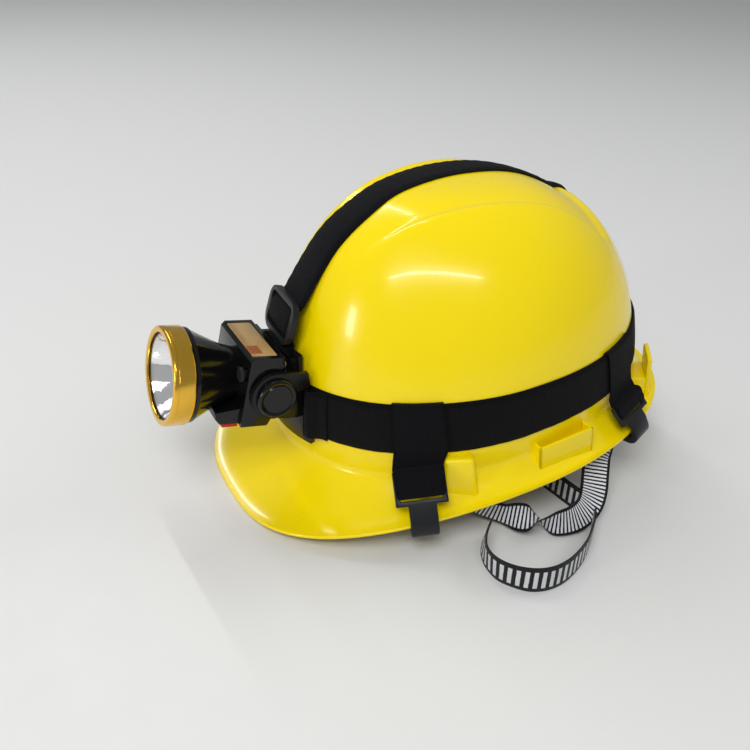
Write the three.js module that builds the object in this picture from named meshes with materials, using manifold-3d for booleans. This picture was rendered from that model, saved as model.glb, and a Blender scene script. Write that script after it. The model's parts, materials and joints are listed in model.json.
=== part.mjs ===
// Miner's cap lamp on its helmet: rechargeable lamp, tilting bracket, elastic harness,
// four brim clips, and the helmet with its head harness and chin strap.
// Millimetres. Row frame: the helmet rests on a table, +Z up, lamp facing -Y, wearer's left +X.
// Helmet frame: brim plane at z = 0, before the nose-down tilt that the helmet rests at.
// Lamp frame: x to the wearer's left, y back along the beam axis, z up, origin at the bezel's front.

import * as THREE from "three";
import { mergeVertices } from "three/addons/utils/BufferGeometryUtils.js";
import Module from "manifold-3d";

const wasm = await Module();
wasm.setup();

const { clamp, degToRad, lerp, smoothstep } = THREE.MathUtils;
const point = (x, y, z) => new THREE.Vector3(x, y, z);

// ---------------------------------------------------------------- driving dimensions

const rest = { noseDown: 8, shiftY: 34, shiftZ: 33.6 };

const dome = {
  halfWidth: 99.5, frontReach: 119, rearReach: 127, base: 15, rise: 143, forwardLean: -25.5,
  planPower: 2.05, frontPower: 1.8, rearPower: 2.9, blendReach: 60, wall: 3,
};
const crown = {
  channel: 4.8, crease: 4, offset: 33, spread: 12, fade: 8.5,
  start: -80, ramp: 37, end: 82, endFade: 9, spreadReach: 80,
};
const brim = {
  halfWidth: 113.2, frontReach: 163, rearReach: 135.2, frontDrop: -11, rearDrop: -1.2,
  power: 2.8, edge: 2.8, fillet: 2.2,
};
const shellMesh = { around: 64, outerRows: 13, innerRows: 9 };

const strap = { width: 30, thickness: 1.8, gap: 0.6 };
const band = { front: 48.1, side: 45.4, rear: 36.9, power: 1.5 };
const clipAngles = {
  front: { hook: 51.9, facing: 68, loop: 50.6 },
  rear: { hook: 126, facing: 112, loop: 129.6 },
};

const lamp = { tiltUp: 17.5, y: -187.2, z: 84.9, pivotBack: 59, pivotUp: -1.5 };
const bezel = { radius: 28.4, lipRadius: 24.6, length: 12.5, lip: 1 };
const body = {
  noseRadius: 26.2, rimRadius: 27.4, neckRadius: 14.8, rimBack: 15.2, neckBack: 42,
  halfWidth: 25.4, frontBack: 42, rearBack: 62, top: 21, bottom: -22.6,
  chinFront: 28, chinHalfWidth: 20.5, wall: 1.8,
};

// ---------------------------------------------------------------- geometry helpers

function positionsOnly(geometry) {
  const plain = geometry.index ? geometry.toNonIndexed() : geometry;
  const bare = new THREE.BufferGeometry();
  bare.setAttribute("position", plain.getAttribute("position").clone());
  return mergeVertices(bare, 1e-4);
}

function signedVolume(geometry) {
  const p = geometry.getAttribute("position");
  const index = geometry.index.array;
  const [a, b, c] = [point(), point(), point()];
  let volume = 0;
  for (let i = 0; i < index.length; i += 3) {
    a.fromBufferAttribute(p, index[i]);
    b.fromBufferAttribute(p, index[i + 1]);
    c.fromBufferAttribute(p, index[i + 2]);
    volume += a.dot(b.cross(c)) / 6;
  }
  return volume;
}

/** Merges vertices, drops collapsed triangles and turns the faces outward. */
function closed(geometry) {
  const merged = positionsOnly(geometry);
  const kept = [];
  const index = merged.index.array;
  for (let i = 0; i < index.length; i += 3) {
    const [a, b, c] = [index[i], index[i + 1], index[i + 2]];
    if (a !== b && b !== c && c !== a) kept.push(a, b, c);
  }
  merged.setIndex(kept);
  if (signedVolume(merged) < 0) {
    for (let i = 0; i < kept.length; i += 3) [kept[i + 1], kept[i + 2]] = [kept[i + 2], kept[i + 1]];
    merged.setIndex(kept);
  }
  return merged;
}

function toManifold(geometry) {
  const solid = closed(geometry);
  return new wasm.Manifold(new wasm.Mesh({
    numProp: 3,
    vertProperties: new Float32Array(solid.getAttribute("position").array),
    triVerts: new Uint32Array(solid.index.array),
  }));
}

function fromManifold(manifold) {
  const mesh = manifold.getMesh();
  const geometry = new THREE.BufferGeometry();
  geometry.setAttribute("position", new THREE.BufferAttribute(new Float32Array(mesh.vertProperties), 3));
  geometry.setIndex(Array.from(mesh.triVerts));
  return geometry;
}

const fold = (method) => (first, ...others) =>
  fromManifold(others.map(toManifold).reduce((sum, next) => sum[method](next), toManifold(first)));
const join = fold("add");
const cut = fold("subtract");

/** Skins rows of points into a closed solid; a row is a ring of points. */
function skin(rows, loop = false) {
  const positions = [];
  const triangle = (...corners) => corners.forEach((corner) => positions.push(corner.x, corner.y, corner.z));
  const spans = loop ? rows.length : rows.length - 1;
  for (let i = 0; i < spans; i++) {
    const here = rows[i];
    const next = rows[(i + 1) % rows.length];
    for (let j = 0; j < here.length; j++) {
      const k = (j + 1) % here.length;
      triangle(here[j], here[k], next[k]);
      triangle(here[j], next[k], next[j]);
    }
  }
  const cap = (row, flip) => {
    for (let j = 1; j < row.length - 1; j++) {
      if (flip) triangle(row[0], row[j + 1], row[j]);
      else triangle(row[0], row[j], row[j + 1]);
    }
  };
  if (!loop) {
    cap(rows[0], true);
    cap(rows[rows.length - 1], false);
  }
  const geometry = new THREE.BufferGeometry();
  geometry.setAttribute("position", new THREE.Float32BufferAttribute(positions, 3));
  return closed(geometry);
}

/** A box from its low and high corners. */
function block(x0, x1, y0, y1, z0, z1) {
  const geometry = new THREE.BoxGeometry(x1 - x0, y1 - y0, z1 - z0);
  return geometry.translate((x0 + x1) / 2, (y0 + y1) / 2, (z0 + z1) / 2);
}

/** A closed lathe about the y axis from [radius, y] pairs. */
function turned(profile, segments = 32) {
  const outline = profile.map(([radius, y]) => new THREE.Vector2(radius, y));
  return new THREE.LatheGeometry([...outline, outline[0].clone()], segments);
}

/** A round disc or rod along x. */
function rodX(radius, x0, x1, segments = 28) {
  return new THREE.CylinderGeometry(radius, radius, x1 - x0, segments)
    .rotateZ(Math.PI / 2).translate((x0 + x1) / 2, 0, 0);
}

function shapeFrom(corners) {
  return new THREE.Shape(corners.map(([x, y]) => new THREE.Vector2(x, y)));
}

/** An outline in the y-z plane, given as [y, z] pairs, extruded along x. */
function extrudedX(corners, x0, x1) {
  const geometry = new THREE.ExtrudeGeometry(shapeFrom(corners), { depth: x1 - x0, bevelEnabled: false });
  const turn = new THREE.Matrix4().makeBasis(point(0, 1, 0), point(0, 0, 1), point(1, 0, 0));
  return geometry.applyMatrix4(turn).translate(x0, 0, 0);
}

/** An outline in the x-y plane, extruded along z both ways from its middle. */
function extrudedAcross(corners, width) {
  const geometry = new THREE.ExtrudeGeometry(shapeFrom(corners), { depth: width, bevelEnabled: false });
  return geometry.translate(0, 0, -width / 2);
}

/** A rectangle with round corners in the x-y plane, extruded along z. */
function roundedPlate(width, height, radius, thickness) {
  const [w, h] = [width / 2, height / 2];
  const shape = new THREE.Shape();
  shape.moveTo(-w + radius, -h);
  shape.lineTo(w - radius, -h);
  shape.absarc(w - radius, -h + radius, radius, -Math.PI / 2, 0);
  shape.lineTo(w, h - radius);
  shape.absarc(w - radius, h - radius, radius, 0, Math.PI / 2);
  shape.lineTo(-w + radius, h);
  shape.absarc(-w + radius, h - radius, radius, Math.PI / 2, Math.PI);
  shape.lineTo(-w, -h + radius);
  shape.absarc(-w + radius, -h + radius, radius, Math.PI, Math.PI * 1.5);
  const options = { depth: thickness, bevelEnabled: false, curveSegments: 3 };
  return new THREE.ExtrudeGeometry(shape, options).translate(0, 0, -thickness / 2);
}

const mirrored = (geometry) => closed(geometry.clone().applyMatrix4(new THREE.Matrix4().makeScale(-1, 1, 1)));

/** Moves a geometry so that its x, y, z axes lie along three directions from an origin. */
function placed(geometry, origin, xAxis, yAxis, zAxis) {
  return geometry.applyMatrix4(new THREE.Matrix4().makeBasis(xAxis, yAxis, zAxis).setPosition(origin));
}

// ---------------------------------------------------------------- helmet surfaces

/** Drop of the flat-bottomed channel along the crown, between two ridges that spread to the back. */
function crownRelief(x, y) {
  const offset = crown.offset + (crown.spread * y) / crown.spreadReach;
  const across = Math.abs(x);
  const inside = lerp(crown.channel, crown.crease, smoothstep(across, 0, offset));
  const outside = crown.crease * (1 - smoothstep(across, offset, offset + crown.fade));
  const along = smoothstep(y, crown.start, crown.start + crown.ramp)
    * (1 - smoothstep(y, crown.end, crown.end + crown.endFade));
  return -(across < offset ? inside : outside) * along;
}

/** Dome point at an angle from the front toward +X, at a level from 0 (base) to 1 (top). */
function domePoint(angle, level, inset = 0, relief = true) {
  const [sine, cosine] = [Math.sin(angle), -Math.cos(angle)];
  const reach = (cosine < 0 ? dome.frontReach : dome.rearReach) - inset;
  const plan = (Math.abs(sine / (dome.halfWidth - inset)) ** dome.planPower
    + Math.abs(cosine / reach) ** dome.planPower) ** (-1 / dome.planPower);
  let y = 0;
  let radius = 0;
  for (let pass = 0; pass < 6; pass++) {
    const power = lerp(dome.frontPower, dome.rearPower, smoothstep(y, -dome.blendReach, dome.blendReach));
    radius = plan * Math.max(0, 1 - level ** power) ** (1 / power);
    y = radius * cosine + dome.forwardLean * level * level;
  }
  const x = radius * sine;
  const z = dome.base + (dome.rise - inset) * level + (relief ? crownRelief(x, y) : 0);
  return point(x, y, z);
}

/** How far a point is outside the dome (positive) or inside it (negative), in dome shares. */
function domeExcess(at) {
  const level = (at.z - crownRelief(at.x, at.y) - dome.base) / dome.rise;
  const back = at.y - dome.forwardLean * level * level;
  const reach = back < 0 ? dome.frontReach : dome.rearReach;
  const power = lerp(dome.frontPower, dome.rearPower, smoothstep(at.y, -dome.blendReach, dome.blendReach));
  const plan = Math.abs(at.x / dome.halfWidth) ** dome.planPower + Math.abs(back / reach) ** dome.planPower;
  return plan ** (power / dome.planPower) + Math.max(0, level) ** power - 1;
}

/** Dome point at a distance to the side, at a turn from the front (0) to the back (180). */
function arcPoint(x, turn) {
  const direction = point(0, -Math.cos(degToRad(turn)), Math.sin(degToRad(turn)));
  const middle = point(x, 0, dome.base + 20);
  let [low, high] = [0, 200];
  for (let pass = 0; pass < 30; pass++) {
    const reach = (low + high) / 2;
    if (domeExcess(middle.clone().addScaledVector(direction, reach)) < 0) low = reach;
    else high = reach;
  }
  return middle.addScaledVector(direction, low);
}

function domeNormal(at) {
  const step = 0.5;
  const slope = (axis) => domeExcess(at.clone().addScaledVector(axis, step))
    - domeExcess(at.clone().addScaledVector(axis, -step));
  return point(slope(point(1, 0, 0)), slope(point(0, 1, 0)), slope(point(0, 0, 1))).normalize();
}

/** Point on the dome's wall at a height, moved outward by a gap. */
function wallPoint(angle, z, gap = 0) {
  const level = clamp((z - dome.base) / dome.rise, 0, 1);
  const base = domePoint(angle, level, 0, false);
  return point(base.x + gap * Math.sin(angle), base.y - gap * Math.cos(angle), z);
}

function wallRadius(angle, z) {
  const at = wallPoint(angle, z);
  return Math.hypot(at.x, at.y);
}

/** Lower outer corner of the brim at an angle. */
function brimPoint(angle) {
  const reach = Math.cos(angle) > 0 ? brim.frontReach : brim.rearReach;
  let [low, high] = [50, 200];
  for (let pass = 0; pass < 40; pass++) {
    const middle = (low + high) / 2;
    const inside = Math.abs((middle * Math.sin(angle)) / brim.halfWidth) ** brim.power
      + ((middle * Math.cos(angle)) / reach) ** 2;
    if (inside < 1) low = middle;
    else high = middle;
  }
  const along = Math.abs(low * Math.cos(angle)) / reach;
  const drop = Math.cos(angle) > 0 ? brim.frontDrop * along ** 2.5 : brim.rearDrop * along ** 2;
  return point(low * Math.sin(angle), -low * Math.cos(angle), drop);
}

/** Upper face of the brim, from the dome's foot (0) to the edge (1). */
function brimTop(angle, share, drop = 0, inset = 0) {
  const foot = domePoint(angle, 0);
  const edge = brimPoint(angle);
  const footRadius = Math.hypot(foot.x, foot.y) - inset;
  const radius = lerp(footRadius, Math.hypot(edge.x, edge.y) - inset, share);
  const edgeTop = edge.z + brim.edge;
  const z = edgeTop + (dome.base - edgeTop) * (1 - share) ** brim.fillet - drop;
  return point(radius * Math.sin(angle), -radius * Math.cos(angle), z);
}

function ring(make, count = shellMesh.around) {
  return Array.from({ length: count }, (_, i) => make((2 * Math.PI * i) / count));
}

const bandHeight = (angle) => {
  const end = Math.cos(angle) > 0 ? band.front : band.rear;
  return band.side + (end - band.side) * Math.abs(Math.cos(angle)) ** band.power;
};

// ---------------------------------------------------------------- helmet

const socketPlan = { front: 61.5, rear: 146 };
const chinAnchorAngle = 122;

/** A moulded block standing on the brim against the dome, at an angle, in polar measure. */
function wallBlock(centreAngle, width, inner, outer, z0, z1, taper = 0) {
  const angle = degToRad(centreAngle);
  const radius = wallRadius(angle, dome.base);
  const outward = point(Math.sin(angle), -Math.cos(angle), 0);
  const along = point(Math.cos(angle), Math.sin(angle), 0);
  const corner = (side, distance, z) => outward.clone().multiplyScalar(radius + distance)
    .addScaledVector(along, side).add(point(0, 0, z));
  const half = width / 2;
  const row = (z, narrow) => [
    corner(-half + narrow, inner, z), corner(half - narrow, inner, z),
    corner(half - narrow, outer - narrow, z), corner(-half + narrow, outer - narrow, z),
  ];
  return skin([row(z0, 0), row(z1, taper)]);
}

const pocket = {
  outer: 105.5, inner: 96, front: -3, back: 35.5, bottom: 5, top: 21.5, slot: 5, wall: 2, floor: 9,
};

/** The rear socket: a low block against the dome with a standing guide outside the strap. */
function rearSocket(side) {
  const angle = degToRad(side * socketPlan.rear);
  const radius = wallRadius(angle, dome.base);
  const profile = [[-2, 5], [12, 2], [12, 30], [9.4, 31], [8.6, 31], [8.6, 17], [7.6, 16], [-2, 16]];
  const outward = point(Math.sin(angle), -Math.cos(angle), 0);
  const along = point(-Math.cos(angle), -Math.sin(angle), 0);
  const origin = outward.clone().multiplyScalar(radius);
  return placed(extrudedAcross(profile, 20), origin, outward, point(0, 0, 1), along);
}

function helmetShell() {
  const rows = [];
  const { outerRows, innerRows } = shellMesh;
  for (let i = 0; i <= outerRows; i++) {
    const level = Math.cos((Math.PI / 2) * (i / outerRows));
    rows.push(ring((angle) => domePoint(angle, level)));
  }
  for (const share of [0.2, 0.45, 0.72, 0.95]) rows.push(ring((angle) => brimTop(angle, share)));
  rows.push(ring((angle) => brimPoint(angle).add(point(0, 0, brim.edge * 0.6))));
  rows.push(ring(brimPoint));
  rows.push(ring((angle) => brimTop(angle, 0.9, brim.edge)));
  for (const share of [0.55, 0.25]) rows.push(ring((angle) => brimTop(angle, share, dome.wall, dome.wall)));
  for (let i = innerRows; i >= 0; i--) {
    const level = Math.cos((Math.PI / 2) * (i / innerRows));
    rows.push(ring((angle) => domePoint(angle, level, dome.wall)));
  }
  const sockets = [];
  const keyways = [];
  for (const side of [1, -1]) {
    sockets.push(wallBlock(side * socketPlan.front, 20, -2, 7.5, 6, 29, 2), rearSocket(side));
    keyways.push(wallBlock(side * socketPlan.front, 15, -8, 3.5, -12, 24));
    keyways.push(wallBlock(side * socketPlan.rear, 15, -8, 3.5, -12, 13));
    const slotOuter = pocket.outer - pocket.wall;
    const walls = block(pocket.inner, pocket.outer, pocket.front, pocket.back, pocket.bottom, pocket.top);
    const slot = block(
      slotOuter - pocket.slot, slotOuter, pocket.front + pocket.wall, pocket.back - pocket.wall,
      pocket.floor, pocket.top + 6,
    );
    sockets.push(side > 0 ? walls : mirrored(walls));
    keyways.push(side > 0 ? slot : mirrored(slot));
  }
  return cut(join(skin(rows), ...sockets), ...keyways);
}

// ---------------------------------------------------------------- head harness inside the helmet

const head = {
  halfWidth: 76, frontReach: 91, rearReach: 88, thickness: 2, height: 30, front: 12, rear: -29.4,
};

function headPoint(angle, z, gap) {
  const reach = Math.cos(angle) > 0 ? head.frontReach : head.rearReach;
  const radius = ((Math.sin(angle) / head.halfWidth) ** 2 + (Math.cos(angle) / reach) ** 2) ** -0.5 + gap;
  return point(radius * Math.sin(angle), -radius * Math.cos(angle), z);
}

/** Middle height of the headband: level at the front, down to the nape at the back. */
const headHeight = (angle) => lerp(head.front, head.rear, smoothstep(-Math.cos(angle), -0.15, 0.9));

/** A strip that follows the headband between two angles, in degrees. */
function headStrip(from, to, steps, gap, thickness, halfHeight) {
  const rows = [];
  for (let i = 0; i <= steps; i++) {
    const angle = degToRad(lerp(from, to, i / steps));
    const z = headHeight(angle);
    rows.push([
      headPoint(angle, z - halfHeight, gap), headPoint(angle, z - halfHeight, gap + thickness),
      headPoint(angle, z + halfHeight, gap + thickness), headPoint(angle, z + halfHeight, gap),
    ]);
  }
  return skin(rows);
}

const headband = () => headStrip(-138, 138, 40, 0, head.thickness, head.height / 2);
const napeStrap = () => headStrip(134, 226, 16, head.thickness + 0.4, head.thickness, head.height / 2);
const browPad = () => headStrip(-50, 50, 16, -4.4, 4, 14);

/** A hanger from the headband up to a key that plugs into the shell's socket. */
function suspensionKey(angleInDegrees, standOff, tongueTop) {
  const angle = degToRad(angleInDegrees);
  const outward = point(Math.sin(angle), -Math.cos(angle), 0);
  const along = point(Math.cos(angle), Math.sin(angle), 0);
  const wall = wallRadius(angle, dome.base);
  const foot = headPoint(angle, 0, head.thickness + standOff);
  const inner = Math.hypot(foot.x, foot.y);
  const middle = headHeight(angle);
  const tongue = wall - 1.6;
  const bottom = Math.min(middle - 9, -9);
  const profile = [
    [inner, middle + 9], [inner, bottom], [inner + 3, bottom], [tongue, bottom + 3],
    [tongue + 3, bottom + 3], [tongue + 3, tongueTop], [tongue, tongueTop], [tongue, bottom + 7],
    [inner + 3, bottom + 5],
    [inner + 3, middle + 9],
  ];
  const width = 13;
  return placed(extrudedAcross(profile, width), point(0, 0, 0), outward, point(0, 0, 1), along.negate());
}

/** A slotted arm from the headband that the chin strap hooks onto. */
function chinAnchor(angleInDegrees) {
  const angle = degToRad(angleInDegrees);
  const outward = point(Math.sin(angle), -Math.cos(angle), 0);
  const along = point(-Math.cos(angle), -Math.sin(angle), 0);
  const foot = headPoint(angle, 0, head.thickness + 0.6);
  const inner = Math.hypot(foot.x, foot.y);
  const z = headHeight(angle) + 6;
  const arm = extrudedAcross([
    [inner, z - 7], [inner + 2.4, z - 7], [inner + 2.4, z - 1.5], [inner + 14, z - 1.5], [inner + 14, z + 1],
    [inner + 2.4, z + 1], [inner + 2.4, z + 7], [inner, z + 7],
  ], 22);
  const [near, far] = [inner + 6, inner + 10];
  const slot = extrudedAcross([[near, z - 5], [far, z - 5], [far, z + 5], [near, z + 5]], 18.6);
  return placed(cut(arm, slot), point(0, 0, 0), outward, point(0, 0, 1), along);
}

/** A webbing strap over the head, from one side of the headband to the other. */
function cradleStrap(angleInDegrees, lift) {
  const angle = degToRad(angleInDegrees);
  const across = point(Math.cos(angle), Math.sin(angle), 0);
  const start = headPoint(angle, headHeight(angle) + 4, -2.4);
  const end = headPoint(angle + Math.PI, headHeight(angle + Math.PI) + 4, -2.4);
  const top = point(0, -4, 104 + lift);
  const steps = 16;
  const rows = [];
  for (let i = 0; i <= steps; i++) {
    const turn = Math.PI * (i / steps);
    const foot = i <= steps / 2 ? start : end;
    const swing = Math.abs(Math.cos(turn)) ** 0.9;
    const centre = point(
      lerp(top.x, foot.x, swing), lerp(top.y, foot.y, swing),
      lerp(foot.z, top.z, Math.sin(turn) ** 0.8),
    );
    const inward = point(-foot.x * swing, -foot.y * swing, -90 * Math.sin(turn)).normalize();
    const [half, thickness] = [9, 1.2];
    const corner = (side, depth) =>
      centre.clone().addScaledVector(across, side).addScaledVector(inward, depth);
    rows.push([corner(-half, 0), corner(half, 0), corner(half, thickness), corner(-half, thickness)]);
  }
  return skin(rows);
}

// ---------------------------------------------------------------- elastic harness on the dome

function headbandStrap() {
  const half = strap.width / 2;
  const rows = ring((angle) => {
    const z = bandHeight(angle);
    const [near, far] = [strap.gap, strap.gap + strap.thickness];
    return [
      wallPoint(angle, z - half, near), wallPoint(angle, z - half, far), wallPoint(angle, z, far),
      wallPoint(angle, z + half, far), wallPoint(angle, z + half, near), wallPoint(angle, z, near),
    ];
  }, shellMesh.around);
  return skin(rows, true);
}

const topStrapRun = {
  front: 27.5, rear: 183.5, frontX: -4, drift: -15, driftFrom: 55, driftTo: 98,
  gap: 1.5, foldFrom: 163, foldTo: 168,
};
const topStrapX = (turn) => topStrapRun.frontX
  + topStrapRun.drift * smoothstep(turn, topStrapRun.driftFrom, topStrapRun.driftTo);

/** A cross-section of webbing lying on the dome at one turn along its run. */
function drapedSection(turn, near, far) {
  const offsets = [-1, -0.5, 0, 0.5, 1].map((share) => (share * strap.width) / 2);
  const layer = (gap) => offsets.map((offset) => {
    const at = arcPoint(topStrapX(turn) + offset, turn);
    return at.clone().addScaledVector(domeNormal(at), gap);
  });
  return [...layer(near), ...layer(far).reverse()];
}

/** Top strap over the crown, its rear end lying on the outside of the headband strap. */
function topStrap() {
  const steps = 40;
  const { front, rear, foldFrom, foldTo } = topStrapRun;
  const overBand = strap.gap + strap.thickness + 0.9;
  const rows = [];
  for (let i = 0; i <= steps; i++) {
    const turn = lerp(front, rear, i / steps);
    const gap = lerp(topStrapRun.gap, overBand, smoothstep(turn, foldFrom, foldTo));
    rows.push(drapedSection(turn, gap, gap + strap.thickness));
  }
  return skin(rows);
}

/** Tri-glide buckle: a frame of two windows, flat on the strap. */
function triGlide(width, height, thickness, corner = 5) {
  const windowHeight = (height - 3 * 3.4) / 2;
  const frame = roundedPlate(width, height, corner, thickness);
  const windows = [1, -1].map((side) =>
    roundedPlate(width - 7.5, windowHeight, corner * 0.35, thickness + 2)
      .translate(0, (side * (windowHeight + 3.4)) / 2, 0));
  return cut(frame, ...windows);
}

function topBuckle() {
  const turn = 29.5;
  const at = arcPoint(topStrapX(turn), turn);
  const normal = domeNormal(at);
  const side = point(1, 0, 0).addScaledVector(normal, -normal.x).normalize();
  const along = normal.clone().cross(side);
  const origin = at.clone().addScaledVector(normal, topStrapRun.gap + strap.thickness + 4.2);
  return placed(triGlide(39, 27, 3.6, 8.5), origin, side, along, normal);
}

function bandSlider() {
  const angle = degToRad(-74);
  const outward = point(Math.sin(angle), -Math.cos(angle), 0);
  const along = point(Math.cos(angle), Math.sin(angle), 0);
  const origin = wallPoint(angle, bandHeight(angle), strap.gap + strap.thickness + 3.8);
  return placed(triGlide(39, 27, 3.2), origin, point(0, 0, -1), along, outward);
}

// ---------------------------------------------------------------- brim clips

const clip = {
  width: 30, tongue: 16, thickness: 3, slotWidth: 24,
  loopThickness: 2.4, drop: 6.6, standOff: 6, hookDepth: 7,
};

/** The vertical plane a clip lies in, and the [distance, z] of its top bar and of the brim's edge. */
function clipPlane({ hook, facing }) {
  const edge = brimPoint(degToRad(hook));
  const angle = degToRad(facing);
  const outward = point(Math.sin(angle), -Math.cos(angle), 0);
  const along = point(-Math.cos(angle), -Math.sin(angle), 0);
  const barHeight = bandHeight(degToRad(hook)) - strap.width / 2 - clip.drop;
  let reach = 10;
  for (let pass = 0; pass < 30; pass++) {
    const at = edge.clone().addScaledVector(outward, -reach);
    reach += Math.hypot(at.x, at.y) - wallRadius(Math.atan2(at.x, -at.y), barHeight);
  }
  const origin = point(edge.x, edge.y, 0);
  return { outward, along, origin, edgeZ: edge.z, start: [clip.standOff - reach, barHeight] };
}

function clipBody(angles) {
  const { outward, along, origin, edgeZ, start } = clipPlane(angles);
  const turn = [1.4, edgeZ + brim.edge + 3];
  const slope = new THREE.Vector2(turn[0] - start[0], turn[1] - start[1]);
  const length = slope.length();
  slope.normalize();
  const across = new THREE.Vector2(-slope.y, slope.x);
  const at = (forward, out) => [
    start[0] + slope.x * forward + across.x * out, start[1] + slope.y * forward + across.y * out,
  ];
  const t = clip.thickness;
  const frameLength = Math.min(20, length * 0.7);
  const arc = (radius, from, to, steps) => Array.from({ length: steps + 1 }, (_, i) => {
    const turned = degToRad(lerp(from, to, i / steps));
    return [0.4 + radius * Math.cos(turned), edgeZ + 0.6 + radius * Math.sin(turned)];
  });
  const tongue = extrudedAcross([
    at(frameLength - 2, 0), at(frameLength - 2, t), at(length - 1, t), ...arc(5.6, 25, -90, 6),
    [-clip.hookDepth, edgeZ - 4.4], [-clip.hookDepth, edgeZ - 1.4], [-clip.hookDepth + 1.4, edgeZ - 0.9],
    [0.4, edgeZ - 1.6], [1.6, edgeZ - 0.6], [1.9, edgeZ + 1.5], at(length - 0.5, 0),
  ], clip.tongue);
  const bar = (from, to, width) => extrudedAcross(
    [at(from, -2), at(to, -2), at(to, t + 2), at(from, t + 2)], width,
  );
  const frame = extrudedAcross([at(0, 0), at(frameLength, 0), at(frameLength, t), at(0, t)], clip.width);
  const slot = bar(3, frameLength - 3, clip.slotWidth);
  return placed(join(cut(frame, slot), tongue), origin, outward, point(0, 0, 1), along);
}

/** The webbing loop that hangs a clip from the headband strap, folded over the strap's top edge. */
function clipLoop(angles) {
  const { outward, along, origin, start } = clipPlane(angles);
  const loopAngle = degToRad(angles.loop);
  const half = clip.width / 2 - 0.5;
  const shares = [-1, -0.5, 0, 0.5, 1];
  const front = strap.gap + strap.thickness + 0.4;
  const radius = wallRadius(loopAngle, bandHeight(loopAngle));
  const wallRow = (height, near, far) => {
    const layer = (gap) => shares.map((share) => {
      const angle = loopAngle + (share * half) / radius;
      return wallPoint(angle, bandHeight(angle) + height, gap);
    });
    return [...layer(near), ...layer(far).reverse()];
  };
  const flatRow = (distance, height) => {
    const layer = (depth) => shares.map((share) => origin.clone().addScaledVector(outward, distance + depth)
      .addScaledVector(along, -share * half * 0.94).add(point(0, 0, height)));
    return [...layer(0), ...layer(clip.loopThickness).reverse()];
  };
  const halfHeight = strap.width / 2;
  return skin([
    wallRow(halfHeight + 2.2, strap.gap, front + 1.2),
    wallRow(halfHeight + 0.5, strap.gap, front + clip.loopThickness),
    wallRow(halfHeight + 0.4, front, front + clip.loopThickness),
    wallRow(0, front, front + clip.loopThickness),
    wallRow(3 - halfHeight, front, front + clip.loopThickness),
    flatRow(start[0] - 0.8, start[1] + 3.6),
  ]);
}

// ---------------------------------------------------------------- lamp bracket

const plate = {
  halfAngle: 16.8, neckHalfAngle: 12.5, topHalfAngle: 9.8,
  z0: 29, shoulder: 62, neck: 67, z1: 79,
  near: 2.9, far: 5.4,
};
const ear = { inner: 26.2, outer: 29.6, radius: 14.4 };

/** Lamp-frame point (y back, z up) in the helmet frame, as [y, z]. */
function lampToHelmet(back, up) {
  const angle = degToRad(lamp.tiltUp);
  return [
    lamp.y + back * Math.cos(angle) + up * Math.sin(angle),
    lamp.z - back * Math.sin(angle) + up * Math.cos(angle),
  ];
}

const [pivotY, pivotZ] = lampToHelmet(lamp.pivotBack, lamp.pivotUp);

/** The curved plate against the dome, narrower above its shoulders. */
function bracketPlate() {
  const rows = [];
  const columns = 12;
  const { halfAngle, neckHalfAngle, topHalfAngle, shoulder, neck, z0, z1 } = plate;
  const heights = [z0, lerp(z0, shoulder, 0.5), shoulder, neck, z1];
  const spread = (z) => (z < neck
    ? lerp(halfAngle, neckHalfAngle, clamp((z - shoulder) / (neck - shoulder), 0, 1))
    : lerp(neckHalfAngle, topHalfAngle, (z - neck) / (z1 - neck)));
  for (let i = 0; i <= columns; i++) {
    const at = (z, gap) => wallPoint(degToRad(spread(z) * lerp(-1, 1, i / columns)), z, gap);
    rows.push([
      ...heights.map((z) => at(z, plate.near - 1)),
      ...heights.map((z) => at(z, plate.far)).reverse(),
    ]);
  }
  return skin(rows);
}

function lampBracket() {
  const ears = [1, -1].map((side) => {
    const [x0, x1] = side > 0 ? [ear.inner, ear.outer] : [-ear.outer, -ear.inner];
    const disc = rodX(ear.radius, x0, x1).translate(0, pivotY, pivotZ);
    const arm = extrudedX([
      [pivotY - 6, pivotZ + 13], [pivotY - 1, pivotZ + 14.6], [-110, pivotZ + 8],
      [-110, pivotZ - 22], [pivotY + 4, pivotZ - 17], [pivotY - 4, pivotZ - 13],
    ], x0, x1);
    return join(disc, arm);
  });
  const clearance = skin([0, 1, 2, 3, 4, 5, 6, 7, 8, 9, 10, 11, 12].map((i) => {
    const angle = degToRad(lerp(-30, 30, i / 12));
    const heights = [20, 45, 70, 100];
    return [
      ...heights.map((z) => wallPoint(angle, z, -30)),
      ...heights.map((z) => wallPoint(angle, z, plate.near)).reverse(),
    ];
  }));
  const slots = [1, -1].map((side) => {
    const angle = degToRad(side * 14.6);
    const at = wallPoint(angle, bandHeight(0), plate.near);
    return block(-1.7, 1.7, -6, 8, -strap.width / 2 - 0.8, strap.width / 2 + 0.8)
      .rotateZ(angle).translate(at.x, at.y, at.z);
  });
  const topSlot = block(-15.6, 15.6, -8, 8, -1.6, 1.6).translate(0, wallPoint(0, 74, 4).y, 74.4);
  const pins = rodX(2.2, -40, 40, 12).translate(0, pivotY, pivotZ);
  return cut(join(bracketPlate(), ...ears), clearance, ...slots, topSlot, pins);
}

/** Round cap over a pivot screw, hollow on its inner side. */
function pivotCap() {
  const x = ear.outer + 0.4;
  const outer = turned([
    [0, 0], [0, 3.4], [9.2, 3.4], [9.6, 2.9], [10.2, 3.3], [11.2, 3.1], [12, 2.2], [12, 0],
  ], 28);
  const hollow = turned([[0, -1], [0, 1.9], [5, 1.9], [5, -1]], 20);
  return cut(outer, hollow).rotateZ(-Math.PI / 2).translate(x, pivotY, pivotZ);
}

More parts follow.
